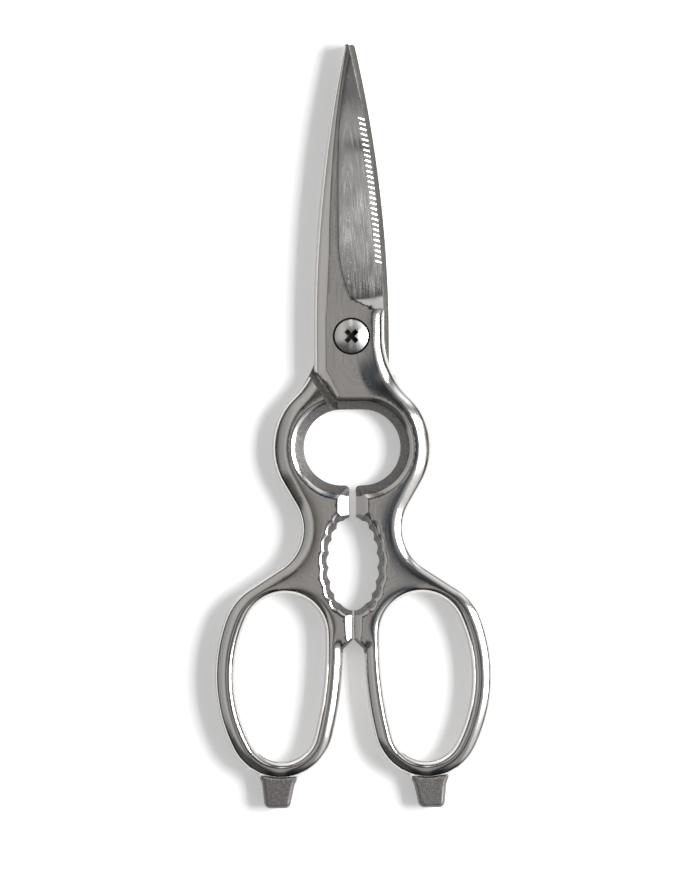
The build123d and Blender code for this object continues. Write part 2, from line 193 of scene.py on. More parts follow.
# Shades of the studio against each part of a direction, from -1 to 1
SIDEWAYS_SHADES = [
    (-1.0, 0.2), (-0.92, 0.4), (-0.75, 0.45), (-0.55, (0.62, 0.62, 0.61)), (-0.3, (0.50, 0.49, 0.48)),
    (-0.24, (0.13, 0.11, 0.10)), (-0.13, (0.12, 0.11, 0.10)), (-0.06, (0.43, 0.42, 0.41)),
    (0.04, (0.45, 0.44, 0.43)), (0.09, (0.03, 0.045, 0.06)), (0.19, (0.03, 0.045, 0.06)),
    (0.26, (0.14, 0.14, 0.15)), (0.38, 0.36), (0.54, (0.34, 0.35, 0.36)), (0.62, (0.8, 0.82, 0.85)),
    (0.86, 0.8), (0.95, 0.1), (1.0, 0.08),
]
RIGHT_SHADES = [
    (-1.0, 0.15), (-0.78, 0.2), (-0.64, 1.0), (0.1, 1.0), (0.16, (0.3, 0.29, 0.28)), (0.5, 0.2), (0.6, 2.0),
    (0.68, 3.0), (0.9, 3.0), (1.0, 0.4),
]
LEFT_SHADES = [
    (-1.0, 0.15), (-0.75, (0.15, 0.16, 0.15)), (-0.36, (0.15, 0.16, 0.15)), (-0.26, 1.0), (0.95, 1.0),
    (1.0, 0.4),
]
UPWARDS_SHADES = [(-1.0, 0.5), (0.0, 0.45), (0.09, 0.3), (0.16, 0.12), (0.27, 0.16), (0.45, 1.0), (1.0, 1.0)]
LEFT_ENDS, RIGHT_STARTS = -0.26, -0.14


def vec(pair):
    return np.array(pair, float)


def unit(v):
    return v / np.linalg.norm(v)


def turned(v, angle):
    c, s = cos(angle), sin(angle)
    return np.array([c * v[0] - s * v[1], s * v[0] + c * v[1]])


class Line:
    """A straight stretch of an outline."""

    def __init__(self, start, end):
        self.start, self.end = vec(start), vec(end)
        self.length = np.linalg.norm(self.end - self.start)

    def sample(self, step):
        count = max(1, round(self.length / step))
        share = np.arange(count)[:, None] / count
        return self.start + (self.end - self.start) * share

    def distance(self, xy):
        way = self.end - self.start
        share = np.clip(((xy - self.start) @ way) / (way @ way), 0, 1)
        return np.linalg.norm(xy - self.start - share[:, None] * way, axis=1)


class Arc:
    """The short arc round a centre from start to end."""

    def __init__(self, centre, start, end):
        self.centre, self.start, self.end = vec(centre), vec(start), vec(end)
        a, b = self.start - self.centre, self.end - self.centre
        self.radius = np.linalg.norm(a)
        self.angle = np.arctan2(a[1], a[0])
        self.sweep = (np.arctan2(b[1], b[0]) - self.angle + pi) % (2 * pi) - pi
        self.length = self.radius * abs(self.sweep)

    def sample(self, step):
        count = max(2, round(self.length / step))
        angle = self.angle + self.sweep * np.arange(count) / count
        return self.centre + self.radius * np.column_stack([np.cos(angle), np.sin(angle)])

    def distance(self, xy):
        d = xy - self.centre
        turn = np.sign(self.sweep) * (np.arctan2(d[:, 1], d[:, 0]) - self.angle) % (2 * pi)
        ends = np.minimum(np.linalg.norm(xy - self.start, axis=1), np.linalg.norm(xy - self.end, axis=1))
        on = turn <= abs(self.sweep)
        return np.where(on, np.abs(np.linalg.norm(d, axis=1) - self.radius), ends)


def nearest(parts, xy):
    """Distance of each point from the nearest of some stretches."""
    return np.minimum.reduce([part.distance(xy) for part in parts])


def touch(inner, radius, outer):
    """Where a circle touches a larger one round it, from their centres."""
    return inner + unit(inner - outer) * radius


def crossing_tangent(first, first_radius, second, second_radius, side):
    """Ends of the straight that touches two circles and passes between their centres."""
    way = second - first
    turn = side * acos((first_radius + second_radius) / np.linalg.norm(way))
    spoke = turned(unit(way), turn)
    return first + spoke * first_radius, second - spoke * second_radius


def side_centre(top, top_radius, bottom, bottom_radius, radius, side):
    """Centre of the large arc that joins two circles along one of their sides."""
    way = bottom - top
    size = np.linalg.norm(way)
    along = ((radius - top_radius) ** 2 - (radius - bottom_radius) ** 2 + size**2) / (2 * size)
    across = sqrt((radius - top_radius) ** 2 - along**2)
    return top + unit(way) * along + turned(unit(way), pi / 2) * side * across


def egg(top, bottom, shrink):
    """Egg of four arcs: where they meet, and the centres of the right and the left one."""
    top_radius, bottom_radius = BOW_TOP_RADIUS - shrink, BOW_BOTTOM_RADIUS - shrink
    right = side_centre(top, top_radius, bottom, bottom_radius, BOW_OUTER_SIDE - shrink, -1)
    left = side_centre(top, top_radius, bottom, bottom_radius, BOW_INNER_SIDE - shrink, 1)
    joints = [
        touch(top, top_radius, right),
        touch(bottom, bottom_radius, right),
        touch(bottom, bottom_radius, left),
        touch(top, top_radius, left),
    ]
    return joints, right, left


# Outline of the forging

POINT_X = (EDGE_HALF - SPINE_HALF) / 2
SIDE_WIDTH = EDGE_HALF - POINT_X
SIDE_RADIUS = (BLADE**2 + SIDE_WIDTH**2) / (2 * SIDE_WIDTH)
TIP = np.array([POINT_X, sqrt((SIDE_RADIUS - TIP_RADIUS) ** 2 - (SIDE_RADIUS - SIDE_WIDTH) ** 2)])
TIP_SIDE = turned(np.array([TIP_RADIUS, 0]), asin(TIP[1] / (SIDE_RADIUS - TIP_RADIUS)))


def edge_x(y):
    """Sideways place of the cutting edge."""
    return EDGE_HALF - SIDE_RADIUS + np.sqrt(SIDE_RADIUS**2 - y**2)


def cracker_polar(xy):
    """Distance outside the nutcracker's ellipse and the angle round it."""
    x, y = xy[:, 0] / CRACKER_A, (xy[:, 1] - CRACKER_Y) / CRACKER_B
    r = np.sqrt(x * x + y * y) + 1e-9
    slope = np.sqrt((x / CRACKER_A) ** 2 + (y / CRACKER_B) ** 2) / r
    return (r - 1) / slope, np.degrees(np.arctan2(y, x))


def flute(angle):
    """How far the flutes cut outwards at an angle round the nutcracker."""
    place = (FLUTE_FIRST - angle) / FLUTE_STEP
    inside = (place > -0.5) & (place < FLUTE_COUNT - 0.5)
    u = place - np.round(place)
    return np.where(inside, FLUTE_DEPTH * (1 - np.abs(2 * u) ** FLUTE_POWER), 0)


def cracker_side():
    """The fluted right side of the nutcracker from its top to its foot."""
    top = degrees(acos(HOOK_X / CRACKER_A))
    foot = -degrees(acos(CONTACT_X / CRACKER_A))
    angle = np.linspace(top, foot, 140)
    a = np.radians(angle)
    wall = np.column_stack([CRACKER_A * np.cos(a), CRACKER_Y + CRACKER_B * np.sin(a)])
    outward = np.column_stack([CRACKER_B * np.cos(a), CRACKER_A * np.sin(a)])
    outward /= np.linalg.norm(outward, axis=1)[:, None]
    return wall + outward * flute(angle)[:, None]


class Path:
    """A stretch of outline given by its points."""

    def __init__(self, points):
        self.points = points
        self.start, self.end = points[0], points[-1]

    def sample(self, step):
        return self.points[:-1]


def corner_arc(before, at, after, radius):
    """Arc that rounds the corner between two straights."""
    first, second = unit(before - at), unit(after - at)
    half = acos(np.clip(first @ second, -1, 1)) / 2
    setback = radius / tan(half)
    centre = at + unit(first + second) * radius / sin(half)
    return Arc(centre, at + first * setback, at + second * setback)


def lug_outline(bottom):
    """Driver lug under a bow: hollow corners at its root, sides that draw in and rounded corners."""
    reach = BOW_BOTTOM_RADIUS + LUG_HOLLOW
    feet = [np.array([x, LUG_END_Y]) for x in LUG_END_SIDES]
    hollows = []
    for sign, root_x, foot in zip((-1, 1), LUG_ROOT_SIDES, feet):
        root = np.array([root_x, bottom[1] - BOW_BOTTOM_RADIUS])
        down = unit(foot - root)
        outward = sign * np.array([-down[1], down[0]])
        start = root + outward * LUG_HOLLOW - bottom
        along = sqrt((start @ down) ** 2 - start @ start + reach**2) - start @ down
        centre = bottom + start + along * down
        on_bow = bottom + unit(centre - bottom) * BOW_BOTTOM_RADIUS
        hollows.append((centre, on_bow, centre - outward * LUG_HOLLOW))
    (left, left_bow, left_side), (right, right_bow, right_side) = hollows
    left_corner = corner_arc(left_side, feet[0], feet[1], LUG_CORNER)
    right_corner = corner_arc(feet[0], feet[1], right_side, LUG_CORNER)
    return [
        Arc(left, left_bow, left_side),
        Line(left_side, left_corner.start),
        left_corner,
        Line(left_corner.end, right_corner.start),
        right_corner,
        Line(right_corner.end, right_side),
        Arc(right, right_side, right_bow),
    ]


def outline():
    """Stretches of the forging's outline, counter-clockwise, by name."""
    lobe, waist = vec(LOBE), vec(WAIST)
    clear = (EDGE_HALF - lobe[0]) ** 2 + lobe[1] ** 2 - LOBE_RADIUS**2
    neck_radius = clear / (2 * (LOBE_RADIUS - EDGE_HALF + lobe[0]))
    neck = np.array([EDGE_HALF + neck_radius, 0])
    neck_end = lobe + unit(neck - lobe) * LOBE_RADIUS
    lobe_end, waist_start = crossing_tangent(lobe, LOBE_RADIUS, waist, WAIST_RADIUS, 1)
    waist_end, bow_start = crossing_tangent(waist, WAIST_RADIUS, vec(BOW_TOP), BOW_TOP_RADIUS, -1)
    joints, right, left = egg(vec(BOW_TOP), vec(BOW_BOTTOM), 0)
    drop = CONTACT_CHAMFER - left[1]
    left_end = left + np.array([-sqrt(BOW_INNER_SIDE**2 - drop**2), drop])

    corner, foot = vec(LAP_CORNER), vec(LAP_FOOT)
    way = unit(foot - corner)
    half = acos(way @ np.array([0, -1])) / 2
    setback = LAP_CORNER_RADIUS * tan(half)
    corner_in = corner + np.array([0, setback])
    corner_out = corner + way * setback
    corner_centre = corner_in + np.array([LAP_CORNER_RADIUS, 0])
    opener_left = np.array([-OPENER[0], OPENER[1]])
    reach = foot - opener_left
    back = -way @ reach - sqrt((way @ reach) ** 2 - reach @ reach + OPENER_RADIUS**2)
    lap_end = foot + way * back

    bottom = vec(BOW_BOTTOM)
    lug = lug_outline(bottom)

    opener = vec(OPENER)
    opener_up, opener_right = np.array([0, OPENER_RADIUS]), np.array([OPENER_RADIUS, 0])
    hook_corner = np.array([HOOK_X, OPENER[1] - OPENER_RADIUS])
    hook_centre = hook_corner + [HOOK_ROUND, -HOOK_ROUND]
    edge_centre = (EDGE_HALF - CHOIL - SIDE_RADIUS, 0)
    tip_left = TIP + TIP_SIDE * [-1, 1]
    side = cracker_side()
    finger_joints, finger_right, finger_left = egg(vec(FINGER_TOP), vec(FINGER_BOTTOM), BOW_WALL)
    return {
        "edge": [Arc(edge_centre, (edge_x(RICASSO) - CHOIL, RICASSO), TIP + TIP_SIDE)],
        "tip": [Arc(TIP, TIP + TIP_SIDE, tip_left)],
        "spine": [
            Arc((SIDE_RADIUS - SPINE_HALF, 0), tip_left, (-SPINE_HALF, 0)),
            Line((-SPINE_HALF, 0), corner_in),
            Arc(corner_centre, corner_in, corner_out),
        ],
        "lap": [Line(corner_out, lap_end)],
        "opener": [
            Arc(opener_left, lap_end, opener_left + opener_up),
            Line(opener_left + opener_up, opener + opener_up),
            Arc(opener, opener + opener_up, opener + opener_right),
            Arc(opener, opener + opener_right, opener - opener_up),
            Line(opener - opener_up, hook_corner + [HOOK_ROUND, 0]),
            Arc(hook_centre, hook_corner + [HOOK_ROUND, 0], hook_corner - [0, HOOK_ROUND]),
        ],
        "hook": [Line(hook_corner - [0, HOOK_ROUND], side[0])],
        "cracker": [Path(side)],
        "contact": [Line(side[-1], (CONTACT_X, CONTACT_END)), Line((CONTACT_X, CONTACT_END), left_end)],
        "bow": [
            Arc(left, left_end, joints[2]),
            Arc(bottom, joints[2], lug[0].start),
        ],
        "lug": lug,
        "arm": [
            Arc(bottom, lug[-1].end, joints[1]),
            Arc(right, joints[1], joints[0]),
            Arc(BOW_TOP, joints[0], bow_start),
            Line(bow_start, waist_end),
            Arc(waist, waist_end, waist_start),
            Line(waist_start, lobe_end),
            Arc(lobe, lobe_end, neck_end),
            Arc(neck, neck_end, (EDGE_HALF, 0)),
            Line((EDGE_HALF, 0), (EDGE_HALF, RICASSO)),
        ],
        "finger": [
            Arc(FINGER_TOP, finger_joints[3], finger_joints[0]),
            Arc(finger_right, finger_joints[0], finger_joints[1]),
            Arc(FINGER_BOTTOM, finger_joints[1], finger_joints[2]),
            Arc(finger_left, finger_joints[2], finger_joints[3]),
        ],
        "bow_bottom": [Arc(bottom, joints[2], joints[1])],
    }


OUTLINE = outline()
ORDER = ("edge", "tip", "spine", "lap", "opener", "hook", "cracker", "contact", "bow", "lug", "arm")
SIDES = [part for name in ORDER if name != "cracker" for part in OUTLINE[name]] + OUTLINE["finger"]


# Height of the upper face

def smooth_min(a, b, blend):
    """The lower of two heights, rounded where they come closer than the blend."""
    near = np.clip(1 - np.abs(a - b) / blend, 0, None)
    return np.minimum(a, b) - near * near * blend / 4


def smooth_max(a, b, blend):
    """The higher of two heights, rounded in the same way."""
    return -smooth_min(-a, -b, blend)


def step(a, b, x):
    """Rises softly from zero at a to one at b."""
    t = np.clip((x - a) / (b - a), 0, 1)
    return t * t * (3 - 2 * t)


def bell(y, middle, spread):
    """A soft swell that is one at its middle."""
    return np.exp(-(((y - middle) / spread) ** 2))


def rounding(distance, width, drop):
    """A rounded side: it bends slowly at first and turns steep close to the outline."""
    u = np.clip(1 - distance / width, 0, 1)
    return TOP - drop * 0.5 * (u**2 + u**16)


def roll_off(depth, bend):
    """Distance past a soft bend: nothing before it and straight after it."""
    t = np.clip(depth, 0, None)
    return np.where(t < bend, t * t / (2 * bend), t - bend / 2)


def shoulder_x(y):
    """Sideways place of the ground face's upper limit: it turns in towards the tip and the ricasso."""
    start, length, tip_turn, tip_power = SHOULDER_AT_TIP
    tip = np.clip((y - start) / length, 0, 1)
    start, length, heel_turn, heel_power = SHOULDER_AT_HEEL
    heel = np.clip((start - y) / length, 0, 1.1)
    return SHOULDER_X + tip_turn * tip**tip_power + heel_turn * heel**heel_power


def bevel_widths(y):
    """Width of the bevel along spine and lap, and of the rounded rim that is its outer part."""
    rim = (RIM_WIDTH + LAP_RIM_ADDS * step(*LAP_RIM_SPAN, y)) * np.interp(y, *RIM_SHARES)
    return np.interp(y, *BEVEL_WIDTHS), rim


def blade_height(xy):
    """Upper face of blade and ricasso: flat, ground face, plunge and the bevel along spine and lap."""
    x, y = xy[:, 0], xy[:, 1]
    share = np.clip((y - TAPER_START) / (BLADE - TAPER_START), 0, 1)
    flat = TOP - (TOP - LAYER - TIP_THICKNESS) * share**2
    away = x - shoulder_x(np.minimum(y, SHOULDER_END))
    start, end, eased = SLOPE_EASES
    middle, spread, dip = SLOPE_DIPS
    slope = GROUND_SLOPE - eased * step(start, end, y) - dip * bell(y, middle, spread)
    top, curve, reach = FILLET
    fillet = curve * np.maximum(top - y, 0) ** 2 * np.clip(away / reach, 0, 1)
    ground = flat - np.where(away > 0, slope * away, SHOULDER_RISE * away) + fillet
    micro = LAYER + EDGE_THICKNESS + (edge_x(y) - x) * MICRO_SLOPE + MICRO_LIFT * (1 - step(*MICRO_FADES, y))
    plunge = TOP - PLUNGE_FALL * (PLUNGE_WAY[0] * x + PLUNGE_WAY[1] * (y - PLUNGE_FOOT))
    ground = smooth_max(np.minimum(ground, micro), plunge, blend=0.12)
    ground = np.where(y > PLUNGE_LOWEST, ground, TOP + 1)
    side = nearest(OUTLINE["spine"] + OUTLINE["lap"], xy)
    width, rim_width = bevel_widths(y)
    fall = width * np.interp(y, *BEVEL_FALLS)
    bevel = flat - fall * (1 - side / width)
    rim_fall = rim_width * RIM_FALL
    rim = flat - fall * (1 - rim_width / width) - rim_fall * (1 - side / rim_width)
    z = smooth_min(smooth_min(flat, bevel, blend=0.06), rim, blend=0.25)
    radius, reach, depth = HUB_DISH
    z = z - depth * np.clip((radius - np.hypot(x, y)) / reach, 0, 1)
    return smooth_min(z, ground, blend=0.04)


def wall(distance, matte_width, lip_width):
    """A drafted wall under a narrower polished slope at its upper edge."""
    edge = TOP - LIP_SLOPE * lip_width
    lip = edge + LIP_SLOPE * (distance - matte_width)
    return smooth_min(lip, WALL_BASE + (edge - WALL_BASE) * distance / matte_width, blend=0.15)


def walls(xy):
    """Levels of the drafted walls of opener, hook, nutcracker and contact pads, one row each."""
    opener = wall(nearest(OUTLINE["opener"], xy), OPENER_WALL, OPENER_LIP)
    hook = wall(nearest(OUTLINE["hook"], xy), *HOOK_WALL)
    away, angle = cracker_polar(xy)
    reach, loss = FLUTE_FADES
    fluted = away - flute(angle) * (1 - loss * np.clip(away / reach, 0, 1))
    cracker = wall(fluted, CRACKER_WALL, CRACKER_LIP)
    contact = wall(nearest(OUTLINE["contact"][:1], xy), *CONTACT_WALL)
    chamfer = wall(nearest(OUTLINE["contact"][1:], xy), *CHAMFER_WALL)
    return np.array([opener, hook, cracker, contact, chamfer])


def below_bow(xy):
    """Distance past the lower end of the bow, where the lug is."""
    return np.linalg.norm(xy - vec(BOW_BOTTOM), axis=1) - BOW_BOTTOM_RADIUS


def bent_down(depth, bend, share):
    """Fall of a face beyond a soft bend along its outline, by the share that is wanted there."""
    start, length, slope = bend
    return slope * share * roll_off(start - depth, length)


def arm_height(xy):
    """Crowned arm with its rounded outer side, the finger hole's rim and the lug."""
    x, y = xy[:, 0], xy[:, 1]
    outer = nearest(OUTLINE["arm"][1:] + OUTLINE["bow"][:1] + OUTLINE["bow_bottom"], xy)
    beyond = below_bow(xy)
    outer = np.where((y < BOW_FOOT_Y) & (beyond > 0), -beyond, outer)
    lobe, heel = bell(y, *LOBE_SWELL), bell(y, *HEEL_SWELL)
    ring, ricasso = step(*BOW_SPAN, y), step(*RICASSO_SPAN, y)
    depth = np.maximum(outer, 0)
    width = ROUND_WIDTH + LOBE_WIDENS * lobe + BOW_WIDENS * ring + RICASSO_WIDENS * ricasso
    z = rounding(depth, width, ROUND_DROP + LOBE_DROPS * lobe)
    z = z - (CROWN_DROP - RICASSO_FLATTENS * ricasso) * np.clip(1 - depth / CROWN_WIDTH, 0, 1) ** 2
    z = z - bent_down(depth, LOBE_BEND, lobe) - bent_down(depth, RICASSO_BEND, ricasso)
    z = np.where(outer < 0, z + outer * BEYOND_SLOPE, z)
    finger = nearest(OUTLINE["finger"], xy)
    rim = np.full(len(xy), TOP)
    for (reach, drop), power in ((FINGER_ROUND, 2), (FINGER_STEEP, 6), (FINGER_CROWN, 2)):
        rim = rim - drop * np.clip(1 - finger / reach, 0, 1) ** power
    z = smooth_min(z, rim, blend=0.3) - bent_down(depth, HEEL_BEND, heel)
    z = z + (TOP - z) * step(*RICASSO_FLAT_SPAN, y)
    reach, drop = LUG_RIM
    rounded = drop * np.clip(1 - nearest(OUTLINE["lug"], xy) / reach, 0, 1) ** 2
    near_lug = (np.abs(x - LUG_X) < LUG_REACH) & (y < BOW_FOOT_Y)
    return np.where(near_lug, smooth_max(z, LAYER + LUG_HALF_THICKNESS - rounded, blend=0.9), z)


def top_height(xy):
    """Height of the forging's upper face over a point of its outline."""
    z = smooth_min(arm_height(xy), walls(xy).min(axis=0), blend=0.15)
    blade = blade_height(xy)
    z = np.where(xy[:, 1] > LAP_END_Y, smooth_min(z, blade, blend=0.06), z)
    return np.where(xy[:, 1] > RICASSO + 4, blade, z)


def is_matte(xy):
    """Where the upper face is blasted and not polished: opener and nutcracker walls and the lug."""
    lowest = walls(xy).argmin(axis=0)
    opener = (lowest == 0) & (nearest(OUTLINE["opener"], xy) < OPENER_WALL - MATTE_MARGIN)
    away, angle = cracker_polar(xy)
    cracker = (lowest == 2) & (away - MATTE_FLUTE * flute(angle) < CRACKER_WALL - MATTE_MARGIN)
    chamfer = (lowest == 4) & (nearest(OUTLINE["contact"][1:], xy) < CHAMFER_WALL[0])
    on_lug = (xy[:, 1] < BOW_FOOT_Y) & (np.abs(xy[:, 0] - LUG_X) < LUG_HALF_WIDTH)
    return opener | cracker | chamfer | on_lug & (below_bow(xy) > MATTE_LUG)


def shoulder_line():
    """Where the lower layer of the handle ends, beside the other half's lap."""
    way = unit(vec(LAP_FOOT) - vec(LAP_CORNER)) * [-1, 1]
    foot = np.array([-LAP_FOOT[0], LAP_FOOT[1]]) + turned(way, pi / 2) * LAP_CHANNEL
    return foot - way * 40, foot + way * 3


def crossings(loop, start, end):
    """Places where a straight crosses a closed loop of points: (share along the straight, index, point)."""
    a, b = loop, np.roll(loop, -1, axis=0)
    r, s = end - start, b - a
    d = r[0] * s[:, 1] - r[1] * s[:, 0]
    q = a - start
    t = (q[:, 0] * s[:, 1] - q[:, 1] * s[:, 0]) / d
    u = (q[:, 0] * r[1] - q[:, 1] * r[0]) / d
    found = np.nonzero((u >= 0) & (u < 1) & (t > 0) & (t < 1))[0]
    return sorted((t[i], i, start + r * t[i]) for i in found)


def inside(loops, xy):
    """Whether points lie inside closed loops, by the even-odd rule."""
    odd = np.zeros(len(xy), bool)
    for loop in loops:
        for a, b in zip(loop, np.roll(loop, -1, axis=0)):
            if a[1] == b[1]:
                continue
            span = (xy[:, 1] < a[1]) != (xy[:, 1] < b[1])
            cross = a[0] + (xy[:, 1] - a[1]) * (b[0] - a[0]) / (b[1] - a[1])
            odd ^= span & (xy[:, 0] < cross)
    return odd


def triangulate(points, edges):
    """Constrained Delaunay triangles over fixed points."""
    verts, _, faces, _, _, _ = delaunay_2d_cdt([Vector(p) for p in points], edges, [], 0, 1e-6)
    return np.array([tuple(v) for v in verts]), np.array(faces)


def thinned(candidates, sizes, taken):
    """Candidates in order, each kept when no kept point lies nearer than its size."""
    cells, kept = {}, []

    def store(point):
        cells.setdefault((int(point[0] // 1), int(point[1] // 1)), []).append(point)

    def crowded(point, limit):
        x, y = point
        i, j = int(x // 1), int(y // 1)
        near = (cells.get((a, b), ()) for a in (i - 1, i, i + 1) for b in (j - 1, j, j + 1))
        return any((q[0] - x) ** 2 + (q[1] - y) ** 2 < limit * limit for cell in near for q in cell)

    for point in taken:
        store(point)
    for point, limit in zip(candidates, sizes):
        if not crowded(point, limit):
            store(point)
            kept.append(point)
    return np.array(kept)


def crease_rows():
    """Points along the blade's creases and close beside them: ground face, bevel and rim."""
    heights = np.arange(*CREASE_SPAN, CREASE_STEP)
    shoulder = np.column_stack([shoulder_x(heights), heights])
    spine = np.concatenate([part.sample(CREASE_STEP) for part in OUTLINE["spine"] + OUTLINE["lap"]])
    tangent = np.gradient(spine, axis=0)
    inward = np.column_stack([-tangent[:, 1], tangent[:, 0]]) / np.linalg.norm(tangent, axis=1)[:, None]
    bevel_line, rim_line = bevel_widths(spine[:, 1])
    rows = []
    for shift in (0, -CREASE_SIDE, CREASE_SIDE):
        rows.append(shoulder + [shift, 0])
        rows.append(spine + inward * (bevel_line + shift)[:, None])
        rows.append(spine + inward * (rim_line + shift)[:, None])
    return np.concatenate(rows)


def beside(loop):
    """Rows of points inside and outside a loop, closer together near it."""
    tangent = np.roll(loop, -1, axis=0) - np.roll(loop, 1, axis=0)
    inward = np.column_stack([-tangent[:, 1], tangent[:, 0]])
    inward /= np.linalg.norm(inward, axis=1)[:, None]
    return np.concatenate([loop + inward * away * sign for away in ROW_PLACES for sign in (1, -1)])


def inner_points(loop, finger):
    """Points inside the outline, with the size that each keeps free round itself."""
    creases = crease_rows()
    xs = np.arange(*GRID_WIDTH, GRID)
    ys = np.arange(*GRID_HEIGHT, GRID * GRID_ROW)
    grid = np.array([(x + (j % 2) * GRID / 2, y) for j, y in enumerate(ys) for x in xs])
    free = np.concatenate([creases, beside(loop), beside(finger), grid])
    on_crease = np.arange(len(free)) < len(creases)
    within = inside([loop, finger], free)
    free, on_crease = free[within], on_crease[within]
    to_cracker = np.maximum(np.abs(cracker_polar(free)[0]) - FLUTE_DEPTH, 0) + CRACKER_FREE
    away = np.minimum(nearest(SIDES, free), to_cracker)
    return free, np.where(on_crease, CREASE_FREE, np.clip(away * FREE_SHARE, FREE_LEAST, FREE_MOST))


def directed_edges(tris):
    """The three edges of each triangle, in its own direction."""
    return np.concatenate([tris[:, [0, 1]], tris[:, [1, 2]], tris[:, [2, 0]]])


def refined(points, edges, fixed_count, loops):
    """Triangles over the points and over more points where the upper face bends between them."""
    for tolerance in TOLERANCES:
        verts, tris = triangulate(points, edges)
        z = top_height(verts)
        pairs = np.unique(np.sort(directed_edges(tris), axis=1), axis=0)
        ends = verts[pairs]
        middle = ends.mean(axis=1)
        size = np.linalg.norm(ends[:, 0] - ends[:, 1], axis=1)
        error = np.abs(top_height(middle) - z[pairs].mean(axis=1))
        on_edge = (pairs < fixed_count).all(axis=1)
        new = middle[(error > tolerance) & (size > SHORTEST) & ~on_edge]
        new = new[inside(loops, new)]
        if len(new) == 0:
            break
        points = np.concatenate([points, new])
    return triangulate(points, edges)


def plan(bore, hole):
    """Triangles over the forging's outline, finer where its upper face bends."""
    loop = np.concatenate([part.sample(STEP) for name in ORDER for part in OUTLINE[name]])
    loop = loop[np.linalg.norm(loop - np.roll(loop, -1, axis=0), axis=1) > CLOSEST]
    (_, first, out_point), (_, second, in_point) = crossings(loop, *shoulder_line())[-2:]
    for index, place in sorted(((first, out_point), (second, in_point)), key=lambda item: -item[0]):
        near = np.linalg.norm(loop - place, axis=1).argmin()
        if np.linalg.norm(loop[near] - place) < SNAP:
            loop[near] = place
        else:
            loop = np.insert(loop, index + 1, place, axis=0)
    finger = np.concatenate([part.sample(STEP) for part in OUTLINE["finger"]])
    angle = np.linspace(0, 2 * pi, BORE_SEGMENTS, endpoint=False)
    circle = np.column_stack([np.cos(angle), np.sin(angle)])
    count = round(np.linalg.norm(out_point - in_point) / SHOULDER_STEP)
    shoulder = out_point + (in_point - out_point) * (np.arange(1, count) / count)[:, None]

    loops = [loop, finger, circle * bore, circle * hole]
    fixed = np.concatenate(loops + [shoulder])
    edges, base = [], 0
    for item in loops:
        edges += [(base + i, base + (i + 1) % len(item)) for i in range(len(item))]
        base += len(item)
    ends = [int(np.linalg.norm(fixed - p, axis=1).argmin()) for p in (out_point, in_point)]
    chain = [ends[0]] + list(range(base, base + len(shoulder))) + [ends[1]]
    edges += list(zip(chain, chain[1:]))
    points = np.concatenate([fixed, thinned(*inner_points(loop, finger), fixed)])
    verts, tris = refined(points, edges, len(fixed), loops[:2])
    tris = tris[inside(loops[:2], verts[tris].mean(axis=1))]
    corners = verts[tris]
    turned_over = np.cross(corners[:, 1] - corners[:, 0], corners[:, 2] - corners[:, 0]) < 0
    tris[turned_over] = tris[turned_over][:, ::-1]
    return verts, tris, out_point, in_point


def rim_edges(triangles):
    """Directed edges that only one of the triangles has."""
    known = {tuple(edge) for edge in directed_edges(triangles).tolist()}
    return [edge for edge in known if (edge[1], edge[0]) not in known]


